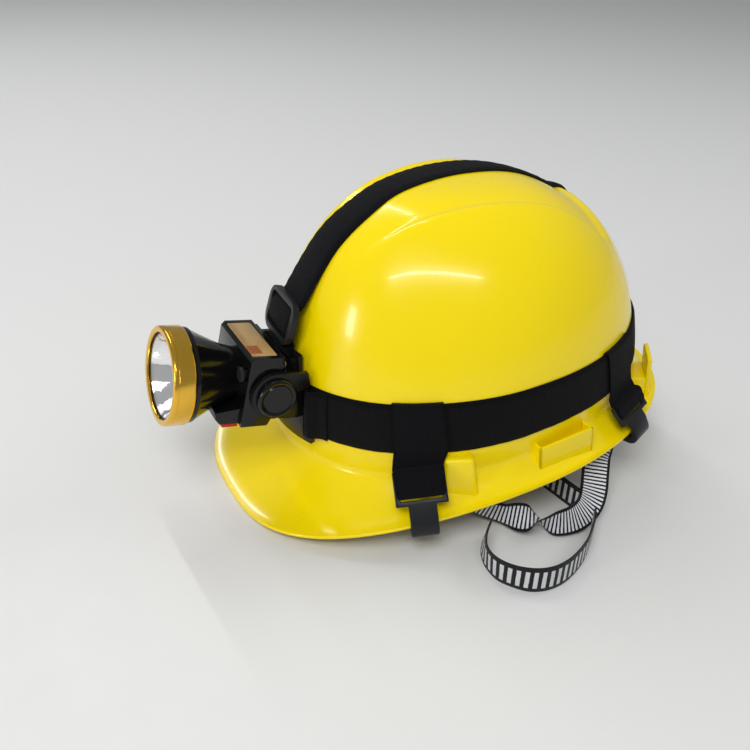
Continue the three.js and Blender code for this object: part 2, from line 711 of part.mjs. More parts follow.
/** Screw that the lamp turns on: its head under the cap and its shank in the lamp's side. */
function pivotScrew() {
  const head = rodX(4, ear.outer + 0.3, ear.outer + 1.9, 20);
  const shank = rodX(1.6, 22.2, ear.outer + 1, 12);
  return join(head, shank).translate(0, pivotY, pivotZ);
}

// ---------------------------------------------------------------- lamp, in the lamp frame

const label = { halfWidth: 22, front: 44.6, back: 60, depth: 1 };
const button = { halfWidth: 18, front: 33.5, back: 43.5 };
const port = { x: 18.5, z: 8 };

function lampBody() {
  const cone = turned([
    [0, 5.2], [body.noseRadius - 1.6, 5.2], [body.noseRadius - 1.6, 6.4], [body.noseRadius, 6.4],
    [body.noseRadius, 13], [body.rimRadius, 13], [body.rimRadius, body.rimBack],
    [body.rimRadius - 1.2, body.rimBack + 1.6], [22.4, 24], [17.6, 34], [body.neckRadius, body.neckBack + 2],
    [0, body.neckBack + 2],
  ], 40);
  const { halfWidth: w, frontBack, rearBack, top, bottom, wall } = body;
  const main = extrudedX([
    [frontBack, bottom + 6], [frontBack + 1, top - 2.5], [frontBack + 3, top], [rearBack, top],
    [rearBack, -14], [rearBack - 4, bottom], [frontBack, bottom],
  ], -w, w);
  const chin = extrudedX([
    [body.chinFront + 3, bottom], [body.chinFront, bottom + 3.5], [body.chinFront, -15], [frontBack + 2, -13],
    [frontBack + 2, bottom],
  ], -body.chinHalfWidth, body.chinHalfWidth);
  const coneHollow = turned([
    [0, 4], [body.noseRadius - 2.6, 4], [body.noseRadius - 2.6, 9], [24.8, 15], [20.6, 24], [15.8, 34],
    [13, 44], [13, 47], [0, 47],
  ], 28);
  const mainHollow = extrudedX([
    [frontBack + wall, bottom + 4], [frontBack + wall, top - 4.4], [rearBack + 2, top - 4.4],
    [rearBack + 2, -11.5], [rearBack - 5, bottom + 2.2], [frontBack + wall, bottom + 2.2],
  ], -w + wall, w - wall);
  const chinHollow = block(-18.8, 18.8, 31.4, 45, bottom + 2.2, -16.6);
  const buttonHole = block(
    -button.halfWidth, button.halfWidth, button.front, button.back, bottom - 1, bottom + 3,
  );
  const labelSeat = block(
    -label.halfWidth, label.halfWidth, label.front, label.back, top - label.depth, top + 1,
  );
  const screwBores = rodX(2.01, -40, 40, 16).translate(0, lamp.pivotBack, lamp.pivotUp);
  const bosses = [1, -1].map((side) =>
    rodX(2.8, -2, 2, 16).translate(side * 22.6, lamp.pivotBack, lamp.pivotUp));
  const portHole = new THREE.CylinderGeometry(3, 3, 8, 20).translate(port.x, frontBack + 1, port.z);
  const hollowed = cut(join(cone, main, chin), coneHollow, mainHollow, chinHollow);
  return cut(join(hollowed, ...bosses), buttonHole, labelSeat, screwBores, portHole);
}

function bezelRing() {
  const { radius, lipRadius, length, lip } = bezel;
  return turned([
    [lipRadius, 0.4], [lipRadius + 0.6, 0], [radius - 1.2, 0], [radius, 1.2],
    [radius, length - 0.9], [radius - 0.7, length], [body.noseRadius + 0.35, length],
    [body.noseRadius + 0.35, lip], [lipRadius, lip],
  ], 44);
}

const lens = () => turned([[0, 1.3], [26.2, 1.3], [26.2, 3.2], [0, 3.2]], 36);
const lensGasket = () => turned([
  [24.3, 3.5], [26.2, 3.5], [26.2, 6.1], [24.9, 6.1], [24.9, 5], [24.3, 5],
], 28);

/** Parabolic bowl with a flat rim behind the lens. */
function reflector() {
  const apex = 27.4;
  const steepness = 0.0405;
  const wall = 0.7;
  const radii = [4.4, 8.5, 13, 18, 22.6];
  const depth = (radius) => apex - steepness * radius * radius;
  const inner = radii.map((radius) => [radius, depth(radius)]);
  const outer = radii.map((radius) => [radius + wall, depth(radius) + wall]).reverse();
  return turned([...inner, [23.9, 3.5], [23.9, 4.2], [23.2, 4.9], ...outer], 36);
}

const ledEmitter = () => turned([
  [0, 24.4], [1.4, 24.7], [2.4, 25.5], [2.6, 26.4], [3.4, 26.4], [3.4, 28], [0, 28],
], 24);
const ledBoard = () => turned([[0, 28.3], [10, 28.3], [10, 29.8], [0, 29.8]], 6);
const heatSink = () => turned([[0, 30.1], [14.5, 30.1], [14.5, 32.1], [10, 32.1], [10, 37.5], [0, 37.5]], 32);
const driverBoard = () => block(-20, 20, 44.6, 46.2, -13, 14);
const batteryPack = () => roundedPlate(39, 30, 2.5, 13).rotateX(Math.PI / 2).translate(0, 53.6, -0.5);
const tactSwitch = () => join(
  block(-3, 3, 36.6, 42.6, -17.7, -16.8),
  new THREE.CylinderGeometry(1.6, 1.6, 0.6, 16).rotateX(Math.PI / 2).translate(0, 39.6, -17.65),
);

function switchButton() {
  const { halfWidth: w, front, back } = button;
  const cap = block(-w + 0.3, w - 0.3, front + 0.3, back - 0.3, body.bottom - 3.9, body.bottom + 2.6);
  const flange = block(-w - 0.4, w + 0.4, front - 0.6, back + 0.6, body.bottom + 2.4, body.bottom + 3.3);
  return join(cap, flange);
}

const labelPlate = () => roundedPlate(2 * label.halfWidth - 0.6, label.back - label.front - 0.6, 1, 0.7)
  .translate(0, (label.front + label.back) / 2, body.top - label.depth + 0.65);

const coverScrewSpots = [[21, 14.6], [-21, 14.6], [21, -9.5], [-21, -9.5]];

function rearCover() {
  const front = body.rearBack + 0.3;
  const outline = [[-24.6, -12.5], [24.6, -12.5], [24.6, 16], [21.5, 20], [-21.5, 20], [-24.6, 16]];
  const coverShape = new THREE.ExtrudeGeometry(shapeFrom(outline), { depth: 2, bevelEnabled: false })
    .rotateX(Math.PI / 2).translate(0, front + 2, 0);
  const holes = coverScrewSpots.map(([x, z]) =>
    new THREE.CylinderGeometry(1.3, 1.3, 8, 12).translate(x, front, z));
  return cut(coverShape, ...holes);
}

const coverScrew = (x, z) => {
  const front = body.rearBack;
  const profile = [[0, -2.4], [1, -2.4], [1, 2.6], [2.1, 2.6], [2.1, 3.4], [0, 3.4]];
  return turned(profile, 14).translate(x, front, z);
};

const chargeSocket = () => turned([[0, 44.1], [2.6, 44.1], [2.6, 44.35], [0, 44.35]], 16)
  .translate(port.x, 0, port.z);
const socketPlug = () => turned([
  [0, 39.4], [3.6, 39.4], [4.2, 40], [4.2, 41.6], [2.7, 41.6], [2.7, 43.6], [0, 43.6],
], 22).translate(port.x, 0, port.z);

// ---------------------------------------------------------------- chin strap, in the table's frame

const webbing = { width: 17, thickness: 1.4 };

// Route of each strap: [x, y, z] of its middle line, then the direction of its width.
const forkRoute = [
  [87, 58, 40.5, -0.62, 0.78, 0.1],
  [91.5, 55, 39, -0.35, 0.93, 0.08],
  [96, 51, 35.5, 0, 1, 0.05],
  [99.1, 46.4, 30.5, 0.33, 0.94, 0.04],
  [102.8, 43.2, 25.5, 0.46, 0.89, 0.04],
  [106.9, 40.1, 20.8, 0.46, 0.89, 0.04],
  [111.6, 36.3, 16.8, 0.52, 0.85, -0.08],
  [116.5, 31, 13.6, 0.63, 0.69, -0.37],
  [120.5, 24.3, 11.4, 0.65, 0.39, -0.65],
  [123, 16.1, 10.3, 0.58, 0.05, -0.81],
  [123.6, 7.7, 10.2, 0.35, -0.05, -0.93],
  [122.2, 0.3, 10.2, 0.1, 0, -1],
  [118.7, -5.2, 10.2, 0.2, -0.15, -0.95],
  [114.6, -9.1, 10.3, 0.45, -0.4, -0.75],
  [111.2, -13.6, 10.6, 0.65, -0.58, -0.4],
  [107.5, -18.4, 11, 0.73, -0.66, -0.1],
  [103, -24, 11.4, 0.74, -0.66, 0.1],
  [98.4, -30, 12.6, 0.75, -0.6, 0.15],
  [94.3, -36.8, 14.6, 0.72, -0.62, 0.2],
];
const loopRoute = [
  [108, -38, 9.2, 0.15, 0.1, 1], [113, -43.5, 9.2, 0.15, 0.1, 1], [120, -49, 9.2, 0.15, 0, 1],
  [129, -53, 9.2, 0.1, -0.1, 1], [139, -53, 9.2, 0, -0.1, 1], [148, -48, 9.2, 0, -0.1, 1],
  [155, -40, 9.2, 0, 0, 1], [158, -30, 9.2, 0, 0, 1], [157, -19, 9.2, 0, 0, 1], [153, -8, 9.2, 0, 0, 1],
  [147, 3, 9.2, 0, 0, 1], [140, 12, 9.2, 0, 0, 1], [133, 20, 9.2, 0, 0, 1], [128.5, 24, 9.2, 0, 0, 1],
];
const farRoute = [
  [106, 27, 9.2, 0, 0, 1], [98, 26, 9.2, 0, 0, 1], [86, 24.5, 9.2, 0, 0, 1],
  [74, 22.5, 9.2, 0, 0, 1], [58, 21, 9.2, 0, 0, 1], [38, 22, 9.2, 0, 0, 1], [16, 23, 9.2, 0, 0, 1],
  [-6, 22, 9.2, 0, 0, 1], [-28, 18, 9.2, 0, 0, 1], [-48, 13, 9.2, 0, 0, 1], [-65, 10.5, 9.3, 0, 0, 1],
  [-78, 12, 10.5, 0, 0.2, 1], [-86.5, 19, 14.5, 0.1, 0.4, 0.9], [-90.5, 28, 20.5, 0.1, 0.6, 0.8],
  [-91.5, 36, 26.5, 0.1, 0.7, 0.7], [-91, 43, 32, 0.1, 0.7, 0.7],
];

function webbingStrip(route) {
  const centres = route.map(([x, y, z]) => point(x, y, z));
  const rows = centres.map((centre, i) => {
    const ahead = centres[Math.min(i + 1, centres.length - 1)];
    const behind = centres[Math.max(i - 1, 0)];
    const tangent = ahead.clone().sub(behind).normalize();
    const wide = point(...route[i].slice(3));
    wide.addScaledVector(tangent, -wide.dot(tangent)).normalize();
    const thin = tangent.clone().cross(wide);
    const corner = (a, b) => centre.clone().addScaledVector(wide, (a * webbing.width) / 2)
      .addScaledVector(thin, (b * webbing.thickness) / 2);
    return [corner(-1, -1), corner(1, -1), corner(1, 1), corner(-1, 1)];
  });
  return skin(rows);
}

// ---------------------------------------------------------------- materials and assembly

const finish = (color, roughness, metalness = 0) =>
  new THREE.MeshStandardMaterial({ color, roughness, metalness });
const finishes = {
  helmet: finish(0xf2d400, 0.2),
  blackPlastic: finish(0x17171a, 0.45),
  glossBlack: finish(0x08080a, 0.12),
  greyPlastic: finish(0x2b2c2f, 0.5),
  elastic: finish(0x141417, 0.9),
  webbing: finish(0x2a2a2e, 0.85),
  foam: finish(0x202024, 0.95),
  cradle: finish(0x30302f, 0.9),
  gold: finish(0xc9932e, 0.3, 1),
  glass: finish(0xffffff, 0.02),
  mirror: finish(0xe8e8ea, 0.08, 1),
  led: finish(0xf4e27a, 0.3),
  board: finish(0x1c5a35, 0.5),
  aluminium: finish(0xb8babd, 0.35, 1),
  battery: finish(0x2f6fb3, 0.5),
  rubberBlack: finish(0x101012, 0.8),
  red: finish(0xc81d12, 0.45),
  label: finish(0xc9a468, 0.55),
  steel: finish(0x9b9da1, 0.3, 1),
};

const assembly = new THREE.Group();
const helmetFrame = new THREE.Group();
helmetFrame.rotation.x = degToRad(rest.noseDown);
const lampFrame = new THREE.Group();
lampFrame.rotation.x = degToRad(-lamp.tiltUp);
lampFrame.position.set(0, lamp.y, lamp.z);
helmetFrame.add(lampFrame);
const table = new THREE.Group();
table.position.set(0, rest.shiftY, 0);
helmetFrame.position.set(0, rest.shiftY, rest.shiftZ);
assembly.add(helmetFrame, table);

function add(parent, name, geometry, material) {
  const mesh = new THREE.Mesh(closed(geometry), material);
  mesh.name = name;
  parent.add(mesh);
}

const addPair = (parent, name, geometry, material) => {
  add(parent, `${name}_left`, geometry, material);
  add(parent, `${name}_right`, mirrored(geometry), material);
};

const onHelmet = (name, geometry, material) => add(helmetFrame, name, geometry, material);
const onLamp = (name, geometry, material) => add(lampFrame, name, geometry, material);

onHelmet("helmet_shell", helmetShell(), finishes.helmet);
onHelmet("headband", headband(), finishes.blackPlastic);
onHelmet("nape_strap", napeStrap(), finishes.blackPlastic);
onHelmet("brow_pad", browPad(), finishes.foam);
onHelmet("cradle_strap_lower", cradleStrap(socketPlan.front, 0), finishes.cradle);
onHelmet("cradle_strap_upper", cradleStrap(-socketPlan.front, 3), finishes.cradle);
addPair(helmetFrame, "suspension_key_front", suspensionKey(socketPlan.front, 1, 21), finishes.blackPlastic);
addPair(helmetFrame, "suspension_key_rear", suspensionKey(socketPlan.rear, 3.6, 10), finishes.blackPlastic);

addPair(helmetFrame, "chin_anchor", chinAnchor(chinAnchorAngle), finishes.blackPlastic);

onHelmet("headband_elastic", headbandStrap(), finishes.elastic);
onHelmet("headband_slider", bandSlider(), finishes.greyPlastic);
onHelmet("top_elastic", topStrap(), finishes.elastic);
onHelmet("top_slider", topBuckle(), finishes.greyPlastic);
for (const [place, angles] of Object.entries(clipAngles)) {
  addPair(helmetFrame, `clip_loop_${place}`, clipLoop(angles), finishes.elastic);
  addPair(helmetFrame, `brim_clip_${place}`, clipBody(angles), finishes.greyPlastic);
}

onHelmet("lamp_bracket", lampBracket(), finishes.blackPlastic);
addPair(helmetFrame, "pivot_cap", pivotCap(), finishes.glossBlack);
addPair(helmetFrame, "pivot_screw", pivotScrew(), finishes.steel);

onLamp("lamp_body", lampBody(), finishes.glossBlack);
onLamp("bezel_ring", bezelRing(), finishes.gold);
onLamp("lens", lens(), finishes.glass);
onLamp("lens_gasket", lensGasket(), finishes.rubberBlack);
onLamp("reflector", reflector(), finishes.mirror);
onLamp("led_emitter", ledEmitter(), finishes.led);
onLamp("led_board", ledBoard(), finishes.aluminium);
onLamp("heat_sink", heatSink(), finishes.aluminium);
onLamp("driver_board", driverBoard(), finishes.board);
onLamp("battery_pack", batteryPack(), finishes.battery);
onLamp("tact_switch", tactSwitch(), finishes.blackPlastic);
onLamp("switch_button", switchButton(), finishes.red);
onLamp("label_plate", labelPlate(), finishes.label);
onLamp("rear_cover", rearCover(), finishes.glossBlack);
coverScrewSpots.forEach(([x, z], i) => onLamp(`cover_screw_${i + 1}`, coverScrew(x, z), finishes.steel));
onLamp("charge_socket", chargeSocket(), finishes.steel);
onLamp("socket_plug", socketPlug(), finishes.rubberBlack);

add(table, "chin_strap_fork", webbingStrip(forkRoute), finishes.webbing);
add(table, "chin_strap_loop", webbingStrip(loopRoute), finishes.webbing);
add(table, "chin_strap_far", webbingStrip(farRoute), finishes.webbing);

export default assembly;
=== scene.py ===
"""Looks of the miner's cap lamp on its helmet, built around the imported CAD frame.

Lengths in the shape code are millimetres; meshes are scaled to metres as they are made.
Helmet frame: brim plane at z = 0. Lamp frame: y back along the beam, z up, origin at the bezel.
"""

import json
import math

import bmesh
import bpy
import numpy as np
from mathutils import Matrix, Vector

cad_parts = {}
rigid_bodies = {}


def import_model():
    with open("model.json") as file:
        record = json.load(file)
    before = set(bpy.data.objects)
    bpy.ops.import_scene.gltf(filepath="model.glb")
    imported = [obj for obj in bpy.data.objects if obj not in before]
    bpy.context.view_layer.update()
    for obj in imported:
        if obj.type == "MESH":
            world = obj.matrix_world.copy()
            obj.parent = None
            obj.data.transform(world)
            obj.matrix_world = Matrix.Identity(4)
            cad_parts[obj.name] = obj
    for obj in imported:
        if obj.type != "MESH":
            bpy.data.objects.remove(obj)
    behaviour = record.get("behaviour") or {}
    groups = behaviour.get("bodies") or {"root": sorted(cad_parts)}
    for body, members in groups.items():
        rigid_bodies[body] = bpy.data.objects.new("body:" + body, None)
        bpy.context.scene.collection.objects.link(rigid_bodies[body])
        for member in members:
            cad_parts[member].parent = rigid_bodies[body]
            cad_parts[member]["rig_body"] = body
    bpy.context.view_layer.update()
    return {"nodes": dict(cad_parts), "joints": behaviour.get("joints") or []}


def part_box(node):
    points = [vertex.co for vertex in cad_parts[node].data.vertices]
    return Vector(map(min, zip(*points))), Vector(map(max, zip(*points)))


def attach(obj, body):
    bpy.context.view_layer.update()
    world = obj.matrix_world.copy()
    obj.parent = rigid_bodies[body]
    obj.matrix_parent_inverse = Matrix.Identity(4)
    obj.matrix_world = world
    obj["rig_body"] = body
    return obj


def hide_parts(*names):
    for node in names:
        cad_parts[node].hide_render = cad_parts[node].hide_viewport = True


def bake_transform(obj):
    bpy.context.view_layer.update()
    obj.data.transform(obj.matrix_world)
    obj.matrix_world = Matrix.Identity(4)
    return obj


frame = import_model()
SIDES = (("left", 1), ("right", -1))

# ---------------------------------------------------------------- frames

ROW = Matrix.Scale(0.001, 4)
REST_SHIFT = Vector((0, 34, 33.6))
HELMET = ROW @ Matrix.Translation(REST_SHIFT) @ Matrix.Rotation(math.radians(8), 4, "X")
LAMP = HELMET @ Matrix.Translation((0, -187.2, 84.9)) @ Matrix.Rotation(math.radians(-17.5), 4, "X")
TABLE = ROW @ Matrix.Translation((0, REST_SHIFT.y, 0))

# ---------------------------------------------------------------- camera, floor and light


def look_matrix(azimuth, elevation, roll):
    """Camera rotation: azimuth 0 looks along +Y, in degrees."""
    a, e = math.radians(azimuth), math.radians(elevation)
    back = Vector((math.sin(a) * math.cos(e), -math.cos(a) * math.cos(e), math.sin(e)))
    right = Vector((0, 0, 1)).cross(back).normalized()
    up = back.cross(right)
    turned = Matrix((right, up, back)).transposed()
    return turned @ Matrix.Rotation(math.radians(roll), 3, "Z")


def make_camera():
    data = bpy.data.cameras.new("camera")
    data.lens = 43.5
    data.sensor_width = 36
    data.clip_start = 0.01
    camera = bpy.data.objects.new("camera", data)
    placement = look_matrix(61.07, 30.63, 2.85).to_4x4()
    placement.translation = (0.4363, -0.2668, 0.3551)
    camera.matrix_world = placement
    bpy.context.scene.collection.objects.link(camera)
    bpy.context.scene.camera = camera


def area_light(name, place, target, size, power, mirrored=False):
    """A soft rectangular light; only the mirrored ones show in glossy surfaces."""
    data = bpy.data.lights.new(name, "AREA")
    data.shape = "RECTANGLE"
    data.size, data.size_y = size
    data.energy = power
    lamp = bpy.data.objects.new(name, data)
    lamp.location = place
    lamp.rotation_euler = (Vector(target) - Vector(place)).to_track_quat("-Z", "Y").to_euler()
    lamp.visible_glossy = mirrored
    bpy.context.scene.collection.objects.link(lamp)


def make_stage():
    world = bpy.data.worlds.new("studio")
    bpy.context.scene.world = world
    world.use_nodes = True
    background = world.node_tree.nodes["Background"]
    background.inputs["Color"].default_value = (0.95, 0.98, 1.0, 1)
    background.inputs["Strength"].default_value = 0.30
    bpy.ops.mesh.primitive_plane_add(size=12)
    floor = bpy.context.object
    floor.name = "floor"
    floor.data.materials.append(plain("floor_grey", (0.74, 0.74, 0.73), 0.5))
    middle = (0, 0, 0.1)
    area_light("key", (0.9, -0.9, 1.7), middle, (0.9, 0.7), 15)
    area_light("fill", (-1.2, -0.6, 1.2), middle, (1.2, 1.0), 5)
    area_light("rear", (0.3, 1.5, 1.3), middle, (1.0, 0.7), 6)
    area_light("side_tube", (1.28, -0.76, 1.5), middle, (1.3, 0.05), 8, True)
    area_light("top_tube", (-0.95, -0.1, 1.5), middle, (0.04, 1.3), 6, True)
    area_light("low_panel", (0.35, -2.2, 0.5), middle, (0.25, 0.5), 7, True)
    bpy.context.scene.view_settings.view_transform = "Standard"


# ---------------------------------------------------------------- materials


class Nodes:
    """A small helper that builds one material's node tree."""

    def __init__(self, name):
        self.material = bpy.data.materials.new(name)
        self.material.use_nodes = True
        self.tree = self.material.node_tree
        self.shader = self.tree.nodes["Principled BSDF"]

    def set(self, **values):
        for key, value in values.items():
            socket = self.shader.inputs[key.replace("_", " ")]
            if key.endswith("Color") or key.endswith("Tint"):
                value = (*value, 1)
            socket.default_value = value
        return self

    def node(self, kind, **settings):
        made = self.tree.nodes.new("ShaderNode" + kind)
        for key, value in settings.items():
            if hasattr(made, key):
                setattr(made, key, value)
            else:
                made.inputs[key].default_value = value
        return made

    def link(self, source, target):
        self.tree.links.new(source, target)

    def math(self, operation, a, b=None):
        made = self.node("Math", operation=operation)
        for socket, value in zip(made.inputs, (a, b)):
            if value is None:
                continue
            if isinstance(value, (int, float)):
                socket.default_value = value
            else:
                self.link(value, socket)
        return made.outputs[0]

    def noise(self, scale, detail=4, roughness=0.55, stretch=(1, 1, 1)):
        place = self.node("TexCoord")
        mapping = self.node("Mapping", Scale=stretch)
        self.link(place.outputs["Object"], mapping.inputs["Vector"])
        made = self.node("TexNoise", Scale=scale, Detail=detail, Roughness=roughness)
        self.link(mapping.outputs[0], made.inputs["Vector"])
        return made.outputs["Fac"]

    def along(self):
        """(distance along, distance across) a strap in millimetres, from its UV map."""
        uv = self.node("UVMap", uv_map="strap")
        parts = self.node("SeparateXYZ")
        self.link(uv.outputs[0], parts.inputs[0])
        return parts.outputs[0], parts.outputs[1]

    def ramp(self, factor, *stops):
        made = self.node("ValToRGB")
        elements = made.color_ramp.elements
        while len(elements) < len(stops):
            elements.new(0.5)
        for element, (position, color) in zip(elements, stops):
            element.position = position
            element.color = (*color, 1) if len(color) == 3 else color
        self.link(factor, made.inputs[0])
        return made.outputs[0]

    def mix(self, factor, a, b):
        made = self.node("Mix", data_type="RGBA")
        self.link(factor, made.inputs[0])
        for socket, value in ((made.inputs[6], a), (made.inputs[7], b)):
            if isinstance(value, tuple):
                socket.default_value = (*value, 1)
            else:
                self.link(value, socket)
        return made.outputs[2]

    def range(self, factor, low, high, source=(0.3, 0.7)):
        made = self.node("MapRange", **{"To Min": low, "To Max": high})
        made.inputs["From Min"].default_value = source[0]
        made.inputs["From Max"].default_value = source[1]
        self.link(factor, made.inputs[0])
        return made.outputs[0]

    def color(self, source):
        self.link(source, self.shader.inputs["Base Color"])

    def roughness(self, source):
        self.link(source, self.shader.inputs["Roughness"])

    def bump(self, height, strength, distance):
        made = self.node("Bump", Strength=strength, Distance=distance)
        self.link(height, made.inputs["Height"])
        previous = self.shader.inputs["Normal"].links
        if previous:
            self.link(previous[0].from_socket, made.inputs["Normal"])
        self.link(made.outputs[0], self.shader.inputs["Normal"])


def plain(name, color, roughness, metallic=0.0):
    n = Nodes(name).set(Base_Color=color, Metallic=metallic)
    n.roughness(n.range(n.noise(40), roughness * 0.9, roughness * 1.1))
    return n.material


def helmet_plastic():
    """Glossy moulded shell: faint flow marks, dust dulling and fine scratches."""
    n = Nodes("helmet").set(Specular_IOR_Level=0.4, Coat_Weight=0.2, Coat_Roughness=0.05, IOR=1.5)
    n.set(Subsurface_Weight=0.1, Subsurface_Scale=0.004, Subsurface_Radius=(1.0, 0.55, 0.05))
    n.color(n.mix(n.noise(9, 3), (0.92, 0.685, 0.0), (0.95, 0.735, 0.0)))
    dust = n.noise(26, 6, 0.7)
    scratches = n.noise(220, 2, 0.5, (1, 0.12, 1))
    n.roughness(n.math("ADD", n.range(dust, 0.17, 0.28), n.range(scratches, 0, 0.05, (0.62, 0.75))))
    n.bump(n.noise(55, 3), 0.12, 0.0006)
    n.bump(n.noise(900, 2), 0.05, 0.0001)
    return n.material


def satin_plastic(name, color, roughness, grain=1600):
    """Moulded plastic with a fine spark-eroded grain and worn, slightly shinier patches."""
    n = Nodes(name).set(Specular_IOR_Level=0.28)
    lighter = tuple(min(1, c * 1.5 + 0.004) for c in color)
    n.color(n.mix(n.noise(70, 5), color, lighter))
    n.roughness(n.range(n.noise(45, 5, 0.7), roughness * 0.8, roughness * 1.2))
    n.bump(n.noise(grain, 3), 0.25, 0.00012)
    return n.material


def gloss_black():
    """Polished black moulding with hairline scuffs."""
    n = Nodes("lamp_plastic").set(Coat_Weight=0.15, Coat_Roughness=0.04, Specular_IOR_Level=0.3)
    n.color(n.mix(n.noise(60), (0.002, 0.002, 0.0025), (0.005, 0.005, 0.0055)))
    scuffs = n.noise(300, 2, 0.5, (1, 0.08, 1))
    n.roughness(n.math("ADD", n.range(n.noise(40, 6, 0.7), 0.08, 0.2), n.range(scuffs, 0, 0.12, (0.6, 0.75))))
    n.bump(n.noise(120, 2), 0.08, 0.0003)
    return n.material


def woven(name, color, rib, tape_width, sheen=0.02, edge=0.86):
    """Ribbed elastic webbing: ribs along the strap, yarns across them and tight bound edges."""
    n = Nodes(name).set(Sheen_Weight=sheen, Sheen_Roughness=0.5, Specular_IOR_Level=0.12)
    along, across = n.along()
    turns = 2 * math.pi
    ribs = n.math("SINE", n.math("MULTIPLY", along, turns / rib))
    yarns = n.math("SINE", n.math("MULTIPLY", across, turns / (rib * 0.75)))
    weave = n.math("MULTIPLY", n.math("ADD", ribs, 1.0), n.math("ADD", yarns, 1.2))
    height = n.math("MULTIPLY", weave, 0.25)
    fuzz = n.noise(700, 4, 0.7)
    light = tuple(min(1, c * 2.4 + 0.004) for c in color)
    # Colour: painted shade in the weave's grooves and painted highlight on the raised yarns, taken from the
    # weave height and mixed with random fuzz tone.
    groove_shade_and_fuzz = n.math("ADD", n.math("MULTIPLY", height, 0.55), n.math("MULTIPLY", fuzz, 0.45))
    border = n.math("GREATER_THAN", n.math("ABSOLUTE", across), tape_width / 2 * edge)
    shade = n.ramp(groove_shade_and_fuzz, (0.25, color), (0.95, light))
    n.color(n.mix(border, shade, color))
    n.roughness(n.range(fuzz, 0.75, 0.95))
    n.bump(height, 0.8, 0.0004)
    n.bump(fuzz, 0.35, 0.0003)
    return n.material


def striped_webbing(name, period, share, reach, silver=(0.88, 0.89, 0.94)):
    """Black tape with silver cross stripes between plain black borders."""
    n = Nodes(name).set(Sheen_Weight=0.08, Specular_IOR_Level=0.25)
    along, across = n.along()
    wobble = n.math("MULTIPLY", n.math("SUBTRACT", n.noise(260, 3), 0.5), 0.5)
    phase = n.math("FRACT", n.math("DIVIDE", n.math("ADD", along, wobble), period))
    stripe = n.math("LESS_THAN", phase, share)
    inside = n.math("LESS_THAN", n.math("ABSOLUTE", across), reach)
    yarn = n.math("SINE", n.math("MULTIPLY", across, 2 * math.pi / 0.7))
    fuzz = n.noise(1500, 3, 0.7)
    worn = tuple(c * 0.7 for c in silver)
    light = n.mix(fuzz, worn, silver)
    n.color(n.mix(n.math("MULTIPLY", stripe, inside), (0.006, 0.006, 0.008), light))
    n.roughness(n.range(fuzz, 0.5, 0.8))
    lift = n.math("ADD", n.math("MULTIPLY", stripe, 0.8), n.math("MULTIPLY", yarn, 0.3))
    n.bump(lift, 0.5, 0.0003)
    n.bump(fuzz, 0.3, 0.0002)
    return n.material


def gold_metal():
    """Gold anodised turned aluminium with a fine satin finish."""
    n = Nodes("gold_anodised").set(Metallic=1.0)
    n.color(n.mix(n.noise(90, 4), (0.86, 0.48, 0.045), (0.95, 0.58, 0.09)))
    n.roughness(n.range(n.noise(45, 4), 0.16, 0.22))
    n.bump(n.noise(2600, 2), 0.06, 0.00002)
    return n.material


def metal(name, color, roughness, stretch=(1, 1, 1)):
    n = Nodes(name).set(Metallic=1.0)
    n.color(n.mix(n.noise(200, 4, 0.6, stretch), color, tuple(c * 0.82 for c in color)))
    n.roughness(n.range(n.noise(300, 4, 0.6, stretch), roughness * 0.7, roughness * 1.3))
    n.bump(n.noise(900, 2, 0.5, stretch), 0.1, 0.00005)
    return n.material


def mirror_metal():
    """Vacuum metallised reflector with a faint orange peel."""
    n = Nodes("reflector").set(Metallic=1.0, Base_Color=(0.93, 0.93, 0.94))
    n.roughness(n.range(n.noise(200), 0.03, 0.09))
    n.bump(n.noise(420, 2), 0.25, 0.0003)
    return n.material


def clear_lens():
    n = Nodes("lens").set(
        Base_Color=(1, 1, 1), Transmission_Weight=1.0, IOR=1.12, Specular_IOR_Level=0.5, Roughness=0.0,
    )
    n.roughness(n.range(n.noise(60, 6, 0.7), 0.0, 0.04))
    return n.material


def label_print():
    """Tan printed insert with a faint wood-like streak and a warmer block near one end."""
    n = Nodes("label").set(Coat_Weight=0.4, Coat_Roughness=0.15)
    streak = n.noise(60, 5, 0.6, (0.25, 1, 1))
    base = n.ramp(streak, (0.3, (0.24, 0.12, 0.03)), (0.55, (0.42, 0.26, 0.09)), (0.75, (0.55, 0.38, 0.17)))
    place = n.node("TexCoord")
    parts = n.node("SeparateXYZ")
    n.link(place.outputs["Generated"], parts.inputs[0])
    block = n.math("MULTIPLY", n.math("GREATER_THAN", parts.outputs[0], 0.7),
                   n.math("LESS_THAN", parts.outputs[0], 0.93))
    corner = n.math("MULTIPLY", block, n.math("LESS_THAN", parts.outputs[1], 0.5))
    n.color(n.mix(corner, base, (0.30, 0.08, 0.01)))
    n.roughness(n.range(n.noise(120, 5), 0.3, 0.5))
    n.bump(n.noise(700, 2), 0.1, 0.0001)
    return n.material


def foam_fabric():
    n = Nodes("foam").set(Sheen_Weight=0.5)
    n.color(n.mix(n.noise(900, 4, 0.7), (0.018, 0.018, 0.02), (0.06, 0.06, 0.065)))
    n.set(Roughness=0.95)
    n.bump(n.noise(1400, 3), 0.7, 0.0004)
    return n.material


def battery_wrap():
    n = Nodes("battery_wrap").set(Coat_Weight=0.2)
    n.color(n.mix(n.noise(80, 3), (0.05, 0.16, 0.42), (0.08, 0.22, 0.55)))
    n.roughness(n.range(n.noise(60, 4), 0.3, 0.5))
    n.bump(n.noise(90, 4, 0.6, (1, 1, 0.2)), 0.5, 0.0005)
    return n.material


def circuit_board():
    n = Nodes("circuit_board")
    tracks = n.node("TexVoronoi", Scale=260.0, distance="CHEBYCHEV")
    place = n.node("TexCoord")
    n.link(place.outputs["Object"], tracks.inputs["Vector"])
    n.color(n.ramp(tracks.outputs["Distance"], (0.2, (0.02, 0.12, 0.04)), (0.32, (0.05, 0.28, 0.10))))
    n.set(Roughness=0.35)
    n.bump(tracks.outputs["Distance"], 0.3, 0.0002)
    return n.material


